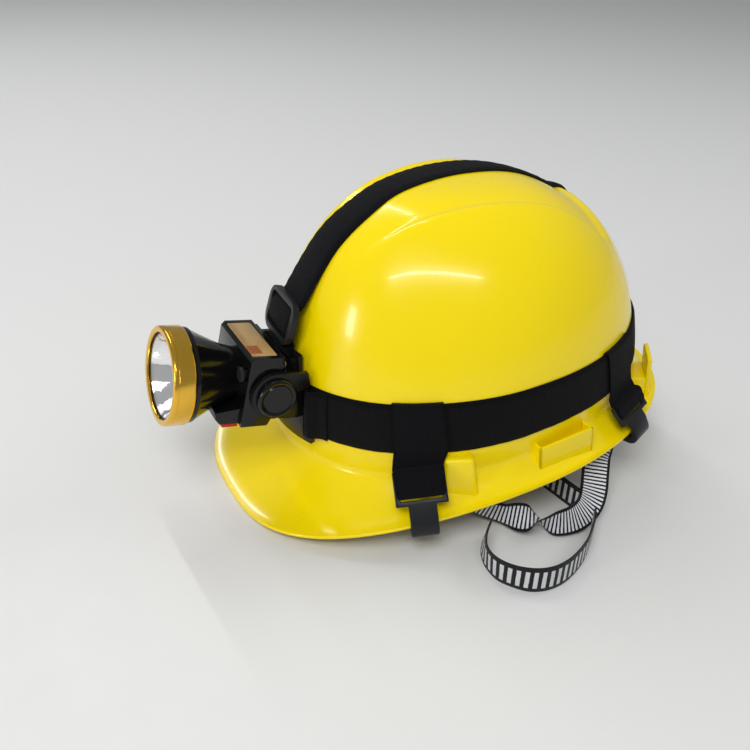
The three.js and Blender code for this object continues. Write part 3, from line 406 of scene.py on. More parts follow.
def led_phosphor():
    n = Nodes("led")
    n.color(n.mix(n.noise(600, 2), (0.85, 0.66, 0.12), (0.95, 0.85, 0.45)))
    n.set(Roughness=0.25, Coat_Weight=1.0, Coat_Roughness=0.02)
    return n.material


MATERIALS = {}


def make_materials():
    MATERIALS.update({
        "helmet": helmet_plastic(),
        "harness_plastic": satin_plastic("harness_plastic", (0.006, 0.006, 0.007), 0.42),
        "foam": foam_fabric(),
        "cradle_webbing": woven("cradle_webbing", (0.03, 0.03, 0.03), 1.1, 18),
        "buckle_plastic": satin_plastic("buckle_plastic", (0.008, 0.0085, 0.010), 0.34),
        "elastic": woven("elastic", (0.003, 0.003, 0.004), 1.0, 30),
        "bracket_plastic": satin_plastic("bracket_plastic", (0.003, 0.003, 0.0035), 0.24),
        "lamp_plastic": gloss_black(),
        "gold_anodised": gold_metal(),
        "lens": clear_lens(),
        "rubber": satin_plastic("rubber", (0.012, 0.012, 0.012), 0.7, 900),
        "reflector": mirror_metal(),
        "led": led_phosphor(),
        "aluminium": metal("aluminium", (0.78, 0.78, 0.80), 0.35),
        "circuit_board": circuit_board(),
        "battery_wrap": battery_wrap(),
        "red_button": satin_plastic("red_button", (0.55, 0.018, 0.012), 0.38, 700),
        "steel": metal("steel", (0.56, 0.56, 0.58), 0.28),
        "label": label_print(),
        "chin_webbing": striped_webbing("chin_webbing", 2.3, 0.55, 6.8),
        "chin_webbing_wide": striped_webbing("chin_webbing_wide", 4.9, 0.5, 5.8, (0.72, 0.73, 0.75)),
    })


# ---------------------------------------------------------------- mesh helpers


def smooth(value, low, high):
    t = np.clip((np.asarray(value, float) - low) / (high - low), 0, 1)
    return t * t * (3 - 2 * t)


def add_object(name, mesh, material, body, replaced=(), blend=None):
    """Links a finished mesh and gives it its material; it ties it to the frame, or with a blend only bakes
    its transform into the mesh.
    """
    made = bpy.data.objects.new(name, mesh)
    bpy.context.scene.collection.objects.link(made)
    mesh.materials.clear()
    mesh.materials.append(MATERIALS[material])
    if blend:
        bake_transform(made)
    else:
        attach(made, body)
    if replaced:
        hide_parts(*([replaced] if isinstance(replaced, str) else replaced))
    return made


def mesh_from(name, points, faces, matrix, uv=None, smooth_angle=40):
    """A mesh from points in millimetres, with outward faces, in metres in the row frame."""
    mesh = bpy.data.meshes.new(name)
    mesh.from_pydata([tuple(p) for p in points], [], faces)
    if uv is not None:
        layer = mesh.uv_layers.new(name="strap")
        corner = np.zeros(len(mesh.loops), int)
        mesh.loops.foreach_get("vertex_index", corner)
        layer.data.foreach_set("uv", np.asarray(uv, np.float32)[corner].ravel())
    mesh.transform(matrix)
    work = bmesh.new()
    work.from_mesh(mesh)
    bmesh.ops.remove_doubles(work, verts=work.verts, dist=1e-7)
    bmesh.ops.recalc_face_normals(work, faces=work.faces)
    work.to_mesh(mesh)
    work.free()
    mesh.shade_smooth()
    mesh.set_sharp_from_angle(angle=math.radians(smooth_angle))
    return mesh


def ring_quads(rows, count):
    """Faces that join each closed row of points to the next."""
    faces = []
    for i in range(rows - 1):
        for j in range(count):
            k = (j + 1) % count
            faces.append((i * count + j, i * count + k, (i + 1) * count + k, (i + 1) * count + j))
    return faces


def lengths(centres):
    steps = np.linalg.norm(np.diff(centres, axis=0), axis=1)
    return np.concatenate([[0], np.cumsum(steps)])


def slab(name, outer, inner, matrix, loop=False):
    """A closed strip between two grids of points, [station, across], with a strap UV in millimetres."""
    outer, inner = np.asarray(outer, float), np.asarray(inner, float)
    count, wide = outer.shape[:2]
    points = np.concatenate([outer.reshape(-1, 3), inner.reshape(-1, 3)])
    run = lengths(outer[:, wide // 2])
    across = lengths(outer[0]) - lengths(outer[0])[-1] / 2
    u, v = np.meshgrid(run, across, indexing="ij")
    uv = np.tile(np.stack([u, v], -1).reshape(-1, 2), (2, 1))
    top = lambda i, j: (i % count) * wide + j
    low = lambda i, j: count * wide + (i % count) * wide + j
    faces = []
    for i in range(count if loop else count - 1):
        for j in range(wide - 1):
            faces.append((top(i, j), top(i + 1, j), top(i + 1, j + 1), top(i, j + 1)))
            faces.append((low(i, j), low(i, j + 1), low(i + 1, j + 1), low(i + 1, j)))
        faces.append((top(i, 0), low(i, 0), low(i + 1, 0), top(i + 1, 0)))
        faces.append((top(i, wide - 1), top(i + 1, wide - 1), low(i + 1, wide - 1), low(i, wide - 1)))
    if not loop:
        for i in (0, count - 1):
            for j in range(wide - 1):
                faces.append((top(i, j), top(i, j + 1), low(i, j + 1), low(i, j)))
    return mesh_from(name, points, faces, matrix, uv)


def lathe(name, profile, matrix, segments=96, smooth_angle=32):
    """A closed turned shape about the y axis, from [radius, y] pairs in millimetres."""
    profile = np.array(profile, float)
    turn = np.linspace(0, 2 * np.pi, segments, endpoint=False)
    rows = [np.stack([r * np.sin(turn), np.full(segments, y), r * np.cos(turn)], -1) for r, y in profile]
    points = np.concatenate(rows)
    run = lengths(np.column_stack([profile, np.zeros(len(profile))]))
    uv = np.stack([np.repeat(run, segments), np.tile(turn, len(profile))], -1)
    faces = []
    for i in range(len(profile)):
        k = (i + 1) % len(profile)
        if profile[i][0] < 1e-6 and profile[k][0] < 1e-6:
            continue
        for j in range(segments):
            n = (j + 1) % segments
            faces.append((i * segments + j, i * segments + n, k * segments + n, k * segments + j))
    mesh = mesh_from(name, points, faces, matrix, uv, smooth_angle)
    work = bmesh.new()
    work.from_mesh(mesh)
    bmesh.ops.dissolve_degenerate(work, edges=work.edges, dist=1e-7)
    work.to_mesh(mesh)
    work.free()
    return mesh


def refined(node, material, bevel=0.0004, segments=2, angle=28):
    """A copy of a CAD node with rounded edges and smooth shading, which stands for it."""
    source = frame["nodes"][node]
    mesh = source.data.copy()
    work = bmesh.new()
    work.from_mesh(mesh)
    bmesh.ops.remove_doubles(work, verts=work.verts, dist=2e-6)
    bmesh.ops.dissolve_limit(work, angle_limit=math.radians(0.5), verts=work.verts, edges=work.edges)
    work.to_mesh(mesh)
    work.free()
    made = bpy.data.objects.new(node + "_finished", mesh)
    bpy.context.scene.collection.objects.link(made)
    rounding = made.modifiers.new("rounding", "BEVEL")
    rounding.width = bevel
    rounding.segments = segments
    rounding.limit_method = "ANGLE"
    rounding.angle_limit = math.radians(angle)
    rounding.use_clamp_overlap = True
    evaluated = made.evaluated_get(bpy.context.evaluated_depsgraph_get())
    final = bpy.data.meshes.new_from_object(evaluated)
    bpy.data.objects.remove(made)
    final.shade_smooth()
    final.set_sharp_from_angle(angle=math.radians(35))
    return add_object(node + "_finished", final, material, source["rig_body"], node)


# ---------------------------------------------------------------- helmet surfaces

DOME = dict(half_width=99.5, front=119, rear=127, base=15, rise=143, lean=-25.5,
            plan=2.05, front_power=1.8, rear_power=2.9, blend=60, wall=3)
CROWN = dict(channel=4.8, crease=4.0, offset=33, spread=12, spread_reach=80, fade=6.5,
             start=-80, ramp=37, end=82, end_fade=9)
BRIM = dict(half_width=113.2, front=163, rear=135.2, front_drop=-11, rear_drop=-1.2,
            power=2.8, edge=2.8, fillet=2.2)
STRAP = dict(width=30, thickness=1.7, gap=0.25)
BAND = dict(front=48.1, side=45.4, rear=36.9, power=1.5)


def crown_relief(x, y):
    """Drop of the raised band's channel and creases along the crown."""
    offset = CROWN["offset"] + CROWN["spread"] * y / CROWN["spread_reach"]
    across = np.abs(x)
    share = smooth(across / np.maximum(offset, 1), 0, 1)
    inside = CROWN["channel"] + (CROWN["crease"] - CROWN["channel"]) * share
    outside = CROWN["crease"] * (1 - smooth((across - offset) / CROWN["fade"], 0, 1))
    along = smooth(y, CROWN["start"], CROWN["start"] + CROWN["ramp"])
    along = along * (1 - smooth(y, CROWN["end"], CROWN["end"] + CROWN["end_fade"]))
    return -np.where(across < offset, inside, outside) * along


def dome_power(y):
    share = smooth(y, -DOME["blend"], DOME["blend"])
    return DOME["front_power"] + (DOME["rear_power"] - DOME["front_power"]) * share


def dome_point(angle, level, inset=0.0, relief=True):
    """Dome point at an angle from the front toward +X and a level from base (0) to top (1)."""
    angle, level = np.broadcast_arrays(np.asarray(angle, float), np.asarray(level, float))
    sine, cosine = np.sin(angle), -np.cos(angle)
    reach = np.where(cosine < 0, DOME["front"], DOME["rear"]) - inset
    p = DOME["plan"]
    plan = (np.abs(sine / (DOME["half_width"] - inset)) ** p + np.abs(cosine / reach) ** p) ** (-1 / p)
    y = np.zeros_like(angle)
    for _ in range(6):
        power = dome_power(y)
        radius = plan * np.maximum(0, 1 - level ** power) ** (1 / power)
        y = radius * cosine + DOME["lean"] * level ** 2
    x = radius * sine
    z = DOME["base"] + (DOME["rise"] - inset) * level
    if relief:
        z = z + crown_relief(x, y)
    return np.stack([x, y, z], -1)


def dome_excess(at):
    x, y, z = at[..., 0], at[..., 1], at[..., 2]
    level = (z - crown_relief(x, y) - DOME["base"]) / DOME["rise"]
    back = y - DOME["lean"] * level ** 2
    reach = np.where(back < 0, DOME["front"], DOME["rear"])
    power = dome_power(y)
    plan = np.abs(x / DOME["half_width"]) ** DOME["plan"] + np.abs(back / reach) ** DOME["plan"]
    return plan ** (power / DOME["plan"]) + np.maximum(0, level) ** power - 1


def arc_point(x, turn):
    """Dome point at a sideways distance x, at a turn in degrees from the front (0) to the back (180)."""
    x, turn = np.broadcast_arrays(np.asarray(x, float), np.radians(turn))
    direction = np.stack([np.zeros_like(x), -np.cos(turn), np.sin(turn)], -1)
    middle = np.stack([x, np.zeros_like(x), np.full_like(x, DOME["base"] + 20)], -1)
    low, high = np.zeros_like(x), np.full_like(x, 200.0)
    for _ in range(32):
        reach = (low + high) / 2
        inside = dome_excess(middle + direction * reach[..., None]) < 0
        low, high = np.where(inside, reach, low), np.where(inside, high, reach)
    return middle + direction * low[..., None]


def dome_normal(at, step=0.5):
    slopes = [dome_excess(at + step * axis) - dome_excess(at - step * axis) for axis in np.eye(3)]
    normal = np.stack(slopes, -1)
    return normal / np.linalg.norm(normal, axis=-1, keepdims=True)


def wall_point(angle, z, gap=0.0):
    """Point on the dome's wall at a height, moved outward by a gap."""
    angle, z = np.broadcast_arrays(np.asarray(angle, float), np.asarray(z, float))
    base = dome_point(angle, np.clip((z - DOME["base"]) / DOME["rise"], 0, 1), relief=False)
    return np.stack([base[..., 0] + gap * np.sin(angle), base[..., 1] - gap * np.cos(angle), z], -1)


def brim_point(angle):
    """Lower outer corner of the brim at each angle."""
    angle = np.asarray(angle, float)
    reach = np.where(np.cos(angle) > 0, BRIM["front"], BRIM["rear"])
    low, high = np.full_like(angle, 50.0), np.full_like(angle, 200.0)
    for _ in range(40):
        middle = (low + high) / 2
        inside = (np.abs(middle * np.sin(angle) / BRIM["half_width"]) ** BRIM["power"]
                  + (middle * np.cos(angle) / reach) ** 2) < 1
        low, high = np.where(inside, middle, low), np.where(inside, high, middle)
    along = np.abs(low * np.cos(angle)) / reach
    drop = np.where(np.cos(angle) > 0, BRIM["front_drop"] * along ** 2.5, BRIM["rear_drop"] * along ** 2)
    return np.stack([low * np.sin(angle), -low * np.cos(angle), drop], -1)


def brim_top(angle, share, drop=0.0, inset=0.0):
    """Upper face of the brim, from the dome's foot (0) to the edge (1)."""
    foot, edge = dome_point(angle, 0.0), brim_point(angle)
    foot_radius = np.hypot(foot[..., 0], foot[..., 1]) - inset
    edge_radius = np.hypot(edge[..., 0], edge[..., 1]) - inset
    radius = foot_radius + (edge_radius - foot_radius) * share
    edge_top = edge[..., 2] + BRIM["edge"]
    z = edge_top + (DOME["base"] - edge_top) * (1 - share) ** BRIM["fillet"] - drop
    return np.stack([radius * np.sin(angle), -radius * np.cos(angle), z], -1)


def band_height(angle):
    end = np.where(np.cos(angle) > 0, BAND["front"], BAND["rear"])
    return BAND["side"] + (end - BAND["side"]) * np.abs(np.cos(angle)) ** BAND["power"]


# ---------------------------------------------------------------- chin strap

WEBBING = dict(width=17, thickness=1.3)

# Route of each strap in the table's frame: [x, y, z] of its middle line, then the direction of its width.
FORK_ROUTE = [
    [87, 58, 40.5, -0.62, 0.78, 0.1],
    [91.5, 55, 39, -0.35, 0.93, 0.08],
    [96, 51, 35.5, 0, 1, 0.05],
    [99.1, 46.4, 30.5, 0.33, 0.94, 0.04],
    [102.8, 43.2, 25.5, 0.46, 0.89, 0.04],
    [106.9, 40.1, 20.8, 0.46, 0.89, 0.04],
    [111.6, 36.3, 16.8, 0.52, 0.85, -0.08],
    [116.5, 31, 13.6, 0.63, 0.69, -0.37],
    [120.5, 24.3, 11.4, 0.65, 0.39, -0.65],
    [123, 16.1, 10.3, 0.58, 0.05, -0.81],
    [123.6, 7.7, 10.2, 0.35, -0.05, -0.93],
    [122.2, 0.3, 10.2, 0.1, 0, -1],
    [118.7, -5.2, 10.2, -0.45, 0.3, -0.85],
    [114.6, -9.1, 10.3, -0.75, 0.6, -0.3],
    [111.2, -13.6, 10.6, -0.62, 0.5, 0.6],
    [107.5, -18.4, 11, -0.25, 0.2, 0.95],
    [103, -24, 11.4, 0.1, -0.1, 1],
    [98.4, -30, 12.6, 0.2, -0.15, 0.97],
    [94.3, -36.8, 14.6, 0.3, -0.2, 0.93],
]
LOOP_ROUTE = [
    [108, -38, 9.2, 0.15, 0.1, 1], [113, -43.5, 9.2, 0.15, 0.1, 1], [120, -49, 9.2, 0.15, 0, 1],
    [129, -53, 9.2, 0.1, -0.1, 1], [139, -53, 9.2, 0, -0.1, 1], [148, -48, 9.2, 0, -0.1, 1],
    [155, -40, 9.2, 0, 0, 1], [158, -30, 9.2, 0, 0, 1], [157, -19, 9.2, 0, 0, 1], [153, -8, 9.2, 0, 0, 1],
    [147, 3, 9.2, 0, 0, 1], [140, 12, 9.2, 0, 0, 1], [133, 20, 9.2, 0, 0, 1], [126.5, 25.5, 9.2, 0, 0, 1],
]
FAR_ROUTE = [
    [109.5, 27.6, 9.2, 0, 0, 1], [98, 26, 9.2, 0, 0, 1], [86, 24.5, 9.2, 0, 0, 1],
    [74, 22.5, 9.2, 0, 0, 1], [58, 21, 9.2, 0, 0, 1], [38, 22, 9.2, 0, 0, 1], [16, 23, 9.2, 0, 0, 1],
    [-6, 22, 9.2, 0, 0, 1], [-28, 18, 9.2, 0, 0, 1], [-48, 13, 9.2, 0, 0, 1], [-65, 10.5, 9.3, 0, 0, 1],
    [-78, 12, 10.5, 0, 0.2, 1], [-86.5, 19, 14.5, 0.1, 0.4, 0.9], [-90.5, 28, 20.5, 0.1, 0.6, 0.8],
    [-91.5, 36, 26.5, 0.1, 0.7, 0.7], [-91, 43, 32, 0.1, 0.7, 0.7],
]


def spline(values, steps):
    """Catmull-Rom through the rows of values, with a number of steps to each span."""
    v = np.asarray(values, float)
    v = np.concatenate([[2 * v[0] - v[1]], v, [2 * v[-1] - v[-2]]])
    out = []
    for i in range(1, len(v) - 2):
        a, b, c, d = v[i - 1], v[i], v[i + 1], v[i + 2]
        for t in np.linspace(0, 1, steps, endpoint=False):
            out.append(0.5 * (2 * b + (c - a) * t + (2 * a - 5 * b + 4 * c - d) * t ** 2
                              + (3 * b - a - 3 * c + d) * t ** 3))
    out.append(v[-2])
    return np.array(out)


def strap_rows(route, width, thickness, steps=5, across=9):
    """Outer and inner grids of a flat strap on a route of [x, y, z, width direction]."""
    fine = spline(route, steps)
    centres, wide = fine[:, :3], fine[:, 3:]
    tangent = np.gradient(centres, axis=0)
    tangent /= np.linalg.norm(tangent, axis=1, keepdims=True)
    wide = wide - (wide * tangent).sum(1, keepdims=True) * tangent
    wide /= np.linalg.norm(wide, axis=1, keepdims=True)
    thin = np.cross(tangent, wide)
    share = np.linspace(-1, 1, across)
    rounding = np.where(np.abs(share) > 0.99, 0.45, 1.0)
    spread = centres[:, None] + wide[:, None] * (share * width / 2)[None, :, None]
    half = thin[:, None] * (rounding * thickness / 2)[None, :, None]
    return centres, spread + half, spread - half


def chin_strap(name, node, route, material):
    centres, outer, inner = strap_rows(route, WEBBING["width"], WEBBING["thickness"])
    mesh = slab(name, outer, inner, TABLE)
    made = add_object(name, mesh, material, "helmet", node)


def make_chin_straps():
    chin_strap("chin_strap_fork_webbing", "chin_strap_fork", FORK_ROUTE, "chin_webbing")
    chin_strap("chin_strap_loop_webbing", "chin_strap_loop", LOOP_ROUTE, "chin_webbing_wide")
    chin_strap("chin_strap_far_webbing", "chin_strap_far", FAR_ROUTE, "chin_webbing_wide")


# ---------------------------------------------------------------- helmet shell

SOCKETS = dict(front=61.5, rear=146)
POCKET = dict(outer=105.5, inner=96.4, front=-3, back=35.5, bottom=3, top=21.5, wall=2, floor=9)


def helmet_shell():
    """The shell as one closed skin: dome, brim, rounded lip and the inside."""
    angles = np.linspace(0, 2 * np.pi, 288, endpoint=False)
    levels = np.sin(np.linspace(0.5 * np.pi, 0, 72))[1:]
    rows = [dome_point(angles, level) for level in levels]
    rows += [brim_top(angles, share) for share in np.linspace(0, 0.985, 22)[1:]]
    edge = brim_point(angles)
    outward = np.stack([np.sin(angles), -np.cos(angles), np.zeros_like(angles)], -1)
    radius = BRIM["edge"] / 2
    for turn in np.linspace(70, -90, 9):
        a = math.radians(turn)
        rows.append(edge + outward * (radius * (math.cos(a) - 1)) + [0, 0, radius * (1 + math.sin(a))])
    rows += [brim_top(angles, share, BRIM["edge"], 0) for share in np.linspace(0.94, 0.6, 8)]
    rows += [brim_top(angles, share, DOME["wall"], DOME["wall"]) for share in np.linspace(0.5, 0, 8)]
    inner_levels = np.sin(np.linspace(0, 0.5 * np.pi, 40))[1:-1]
    rows += [dome_point(angles, level, DOME["wall"]) for level in inner_levels]
    count = len(angles)
    top, under = dome_point(0.0, 1.0), dome_point(0.0, 1.0, DOME["wall"])
    points = np.concatenate([*rows, [top], [under]])
    faces = ring_quads(len(rows), count)
    last = (len(rows) - 1) * count
    for j in range(count):
        k = (j + 1) % count
        faces.append((j, len(points) - 2, k))
        faces.append((last + j, last + k, len(points) - 1))
    mesh = mesh_from("helmet_shell_fine", points, faces, HELMET, smooth_angle=50)
    return add_object("helmet_shell_fine", mesh, "helmet", "helmet", "helmet_shell")


def rounded_prism(name, rings, matrix, bevel, material, body="helmet", replaced=(), segments=3):
    """A solid from matching rings of points, with rounded edges."""
    count = len(rings[0])
    points = [p for ring in rings for p in ring]
    faces = [tuple(range(count))[::-1], tuple(range((len(rings) - 1) * count, len(rings) * count))]
    faces += ring_quads(len(rings), count)
    mesh = mesh_from(name, points, faces, matrix)
    work = bmesh.new()
    work.from_mesh(mesh)
    bmesh.ops.bevel(work, geom=list(work.edges), offset=bevel / 1000, segments=segments, profile=0.5,
                    affect="EDGES", clamp_overlap=True)
    work.to_mesh(mesh)
    work.free()
    mesh.shade_smooth()
    mesh.set_sharp_from_angle(angle=math.radians(50))
    return add_object(name, mesh, material, body, replaced)


def polar_frame(angle):
    outward = np.array([math.sin(angle), -math.cos(angle), 0])
    along = np.array([math.cos(angle), math.sin(angle), 0])
    return outward, along


def make_sockets():
    """Suspension sockets, strap guides and open accessory pockets moulded on the brim."""
    for side, sign in SIDES:
        angle = math.radians(sign * SOCKETS["front"])
        outward, along = polar_frame(angle)
        foot = np.linalg.norm(wall_point(angle, DOME["base"])[:2])
        rings = []
        for z, half, reach in ((3, 10.6, 8.2), (29, 8.2, 5.6)):
            rings.append([outward * (foot + r) + along * s + [0, 0, z]
                          for s, r in ((-half, -2.5), (half, -2.5), (half, reach), (-half, reach))])
        rounded_prism(f"front_socket_{side}", rings, HELMET, 2.2, "helmet", segments=5)
        angle = math.radians(sign * SOCKETS["rear"])
        outward, along = polar_frame(angle)
        foot = np.linalg.norm(wall_point(angle, DOME["base"])[:2])
        for part, inner, reach, height in (("block", -2.5, 9, 16.5), ("guide", 8.8, 12, 31)):
            corners = ((-10, inner), (10, inner), (10, reach), (-10, reach))
            rings = [[outward * (foot + r) + along * s + [0, 0, z] for s, r in corners] for z in (2, height)]
            rounded_prism(f"rear_{part}_{side}", rings, HELMET, 0.9, "helmet")
        p = POCKET
        hidden = 0.5
        walls = {
            "outer": (p["outer"] - p["wall"], p["outer"], p["front"], p["back"], p["top"]),
            "front": (p["inner"], p["outer"], p["front"], p["front"] + p["wall"], p["top"]),
            "back": (p["inner"], p["outer"], p["back"] - p["wall"], p["back"], p["top"]),
            "floor": (p["inner"], p["outer"] - hidden, p["front"] + hidden, p["back"] - hidden, p["floor"]),
        }
        for part, (x0, x1, y0, y1, top) in walls.items():
            corners = ((x0, y0), (x1, y0), (x1, y1), (x0, y1))
            rings = [[(sign * x, y, z) for x, y in corners] for z in (p["bottom"], top)]
            rounded_prism(f"pocket_{part}_{side}", rings, HELMET, 0.7, "helmet")


# ---------------------------------------------------------------- elastic harness

TOP_STRAP = dict(front=19.6, rear=185, front_x=-4, drift=-15, drift_from=55, drift_to=98, gap=0.35)
# How far the strap stands off the dome at each turn: through the bracket's slot, over the buckle's bar,
# down onto the dome and at the back over the headband strap.
STRAP_LIFT = [
    (19.6, 2.4), (19.9, 4.4), (20.4, 5.8), (21.8, 5.9), (23.4, 3.7), (24.6, 5.0), (25.8, 7.2), (27.5, 8.9),
    (29.5, 9.4), (31.5, 8.9), (33.2, 7.2), (34.4, 5.0), (35.8, 3.6), (40, 2.2), (46, 0.9), (53, 0.35),
    (164, 0.35), (168.6, 2.3), (186, 2.3),
]


def top_strap_x(turn):
    share = smooth(turn, TOP_STRAP["drift_from"], TOP_STRAP["drift_to"])
    return TOP_STRAP["front_x"] + TOP_STRAP["drift"] * share


def edge_rounding(count):
    """Share of the thickness at each point across a strap: full inside, thin at both edges."""
    share = np.abs(np.linspace(-1, 1, count))
    return np.where(share > 0.995, 0.4, np.where(share > 0.9, 0.92, 1.0))


def draped_grids(turns, width, near, far, across=13):
    offsets = np.linspace(-width / 2, width / 2, across)
    at = arc_point(top_strap_x(turns)[:, None] + offsets[None], turns[:, None] + 0 * offsets[None])
    normal = dome_normal(at)
    round_off = edge_rounding(across)[None, :, None]
    ripple = 0.12 * np.sin(turns * 1.7)[:, None, None]
    outer = at + normal * (near + (far - near) * round_off + ripple)
    inner = at + normal * (near + 0 * round_off)
    return outer, inner


def make_top_strap():
    buckle_end = 36
    over_buckle = np.linspace(TOP_STRAP["front"], buckle_end, 70)
    over_dome = np.linspace(buckle_end, TOP_STRAP["rear"], 170)[1:]
    turns = np.concatenate([over_buckle, over_dome])
    near = np.interp(turns, *np.transpose(STRAP_LIFT))
    kernel = np.array([1, 2, 3, 2, 1]) / 9
    near[2:-2] = np.convolve(near, kernel, "valid")
    near = near[:, None, None]
    outer, inner = draped_grids(turns, STRAP["width"], near, near + STRAP["thickness"])
    mesh = slab("top_strap_webbing", outer, inner, HELMET)
    add_object("top_strap_webbing", mesh, "elastic", "helmet", "top_elastic")


def make_headband_strap():
    count, across = 300, 13
    angles = np.linspace(0, 2 * np.pi, count, endpoint=False)
    offsets = np.linspace(-STRAP["width"] / 2, STRAP["width"] / 2, across)
    round_off = edge_rounding(across)
    ripple = 0.10 * np.sin(angles * 23) + 0.06 * np.sin(angles * 61)
    z = band_height(angles)[:, None] + offsets[None]
    wide_angles = angles[:, None] + 0 * offsets[None]
    near = STRAP["gap"] + 0 * z
    far = STRAP["gap"] + STRAP["thickness"] * round_off[None] + ripple[:, None]
    mesh = slab("headband_strap_webbing", wall_point(wide_angles, z, far), wall_point(wide_angles, z, near),
                HELMET, loop=True)
    add_object("headband_strap_webbing", mesh, "elastic", "helmet", "headband_elastic")


def make_strap_ends():
    """The headband strap's ends, folded over the side bars of the bracket and sewn back on themselves."""
    across = 13
    offsets = np.linspace(-STRAP["width"] / 2 + 0.2, STRAP["width"] / 2 - 0.2, across)
    lift = [(14.3, 1.9), (14.5, 3.6), (14.8, 5.2), (15.3, 6.0), (16.6, 6.1),
            (17.6, 4.6), (18.8, 2.7), (19.8, 2.2), (21.6, 2.15)]
    turns = np.linspace(lift[0][0], lift[-1][0], 46)
    near = np.interp(turns, *np.transpose(lift))[:, None]
    for side, sign in SIDES:
        angles = np.radians(turns)[:, None] * sign + 0 * offsets[None]
        z = band_height(angles) + offsets[None]
        far = near + (STRAP["thickness"] - 0.2) * edge_rounding(across)[None]
        outer, inner = wall_point(angles, z, far), wall_point(angles, z, near + 0 * z)
        mesh = slab(f"strap_end_{side}", outer, inner, HELMET)
        add_object(f"strap_end_{side}", mesh, "elastic", "helmet")


# ---------------------------------------------------------------- brim clips and their loops

CLIPS = {
    "front": dict(hook=51.9, facing=68, loop=50.6),
    "rear": dict(hook=126, facing=112, loop=129.6),
}
CLIP = dict(width=30, drop=6.6, stand_off=6, loop_thickness=1.5)


def clip_plane(place):
    """A clip's frame: a function from (forward, out) to a point, its sideways direction and its length."""
    spot = CLIPS[place]
    hook = math.radians(spot["hook"])
    edge = brim_point(np.array([hook]))[0]
    outward, along = polar_frame(math.radians(spot["facing"]))
    height = float(band_height(np.array(hook))) - STRAP["width"] / 2 - CLIP["drop"]
    reach = 10.0
    for _ in range(30):
        at = edge - outward * reach
        wall = wall_point(math.atan2(at[0], -at[1]), height)
        reach += math.hypot(at[0], at[1]) - math.hypot(wall[0], wall[1])
    start = np.array([CLIP["stand_off"] - reach, height])
    slope = np.array([1.4, edge[2] + BRIM["edge"] + 3]) - start
    length = np.linalg.norm(slope)
    slope /= length
    origin = np.array([edge[0], edge[1], 0.0])

    def at(forward, out):
        distance = start[0] + slope[0] * forward - slope[1] * out
        rise = start[1] + slope[1] * forward + slope[0] * out
        return origin + outward * distance + [0, 0, rise]

    return at, along, min(20, length * 0.7)


def clip_loop(place, side, sign):
    """Webbing folded over the strap, passing in front of the clip's top bar and back through its window."""
    at, along, frame_length = clip_plane(place)
    loop_angle = math.radians(CLIPS[place]["loop"])
    across = np.linspace(-1, 1, 11)
    half = CLIP["width"] / 2 - 0.3
    middle = float(band_height(np.array(loop_angle)))
    radius = math.hypot(*wall_point(loop_angle, middle)[:2])
    angles = loop_angle + across * half / radius
    front = STRAP["gap"] + STRAP["thickness"] + 0.25
    face = front + CLIP["loop_thickness"]
    half_band = STRAP["width"] / 2

    def wall_row(rise, gap):
        return wall_point(angles, band_height(angles) + rise, gap)

    def clip_row(forward, out, width):
        return at(forward, out)[None] + along[None] * (across * width / 2)[:, None]

    rows = [wall_row(half_band - 3, 0.1), wall_row(half_band + 0.3, 0.15)]
    for turn in np.linspace(150, 20, 6):
        a = math.radians(turn)
        gap = front / 2 + 0.6 + (front / 2 + 0.9) * math.cos(a)
        rows.append(wall_row(half_band + 0.3 + 1.1 * math.sin(a), gap))
    rows += [wall_row(rise, face) for rise in np.linspace(half_band - 1, 3 - half_band, 9)]
    rows.append(0.5 * (wall_row(1 - half_band, face) + clip_row(-3.0, 0.8, 29.2)))
    end = frame_length
    run = [
        (-1.6, 2.0, 29.2), (-0.4, 4.4, 29.2), (1.2, 5.3, 29.2), (2.6, 5.2, 29), (4.2, 4.8, 28.8),
        (end - 8.5, 4.7, 28.6), (end - 6.4, 4.6, 28.4), (end - 4.9, 4.2, 27.4), (end - 4.1, 3.2, 25.4),
        (end - 4.0, 1.6, 23.8), (end - 4.5, 0.2, 23.6), (end - 6.1, -0.6, 23.6),
    ]
    rows += [clip_row(*place_at) for place_at in run]
    surface = np.array(rows)
    normal = np.cross(np.gradient(surface, axis=1), np.gradient(surface, axis=0))
    normal /= np.linalg.norm(normal, axis=-1, keepdims=True)
    centre = surface[len(rows) // 2, 5]
    if (normal[len(rows) // 2, 5] * centre).sum() < 0:
        normal = -normal
    inner = surface - normal * CLIP["loop_thickness"] * edge_rounding(11)[None, :, None]
    mirror = np.array([sign, 1, 1])
    mesh = slab(f"loop_{place}_{side}", surface * mirror, inner * mirror, HELMET)
    top = HELMET @ Vector(wall_point(loop_angle, middle - 4) * mirror)
    low = HELMET @ Vector(at(1, 0) * mirror)
    return add_object(f"loop_{place}_{side}", mesh, "elastic", "helmet", f"clip_loop_{place}_{side}",
                      blend=("helmet", f"brim_clip_{place}_{side}", top, low))


def make_clips():
    for place in CLIPS:
        for side, sign in SIDES:
            clip_loop(place, side, sign)
            refined(f"brim_clip_{place}_{side}", "buckle_plastic", 0.0006, 3)


# ---------------------------------------------------------------- lamp

LAMP_SEGMENTS = 128


def turned(name, profile, material, node, segments=LAMP_SEGMENTS, smooth_angle=32):
    """A lathe-turned piece about the beam, which stands for a CAD node."""
    add_object(name, lathe(name, profile, LAMP, segments, smooth_angle), material, "lamp", node)


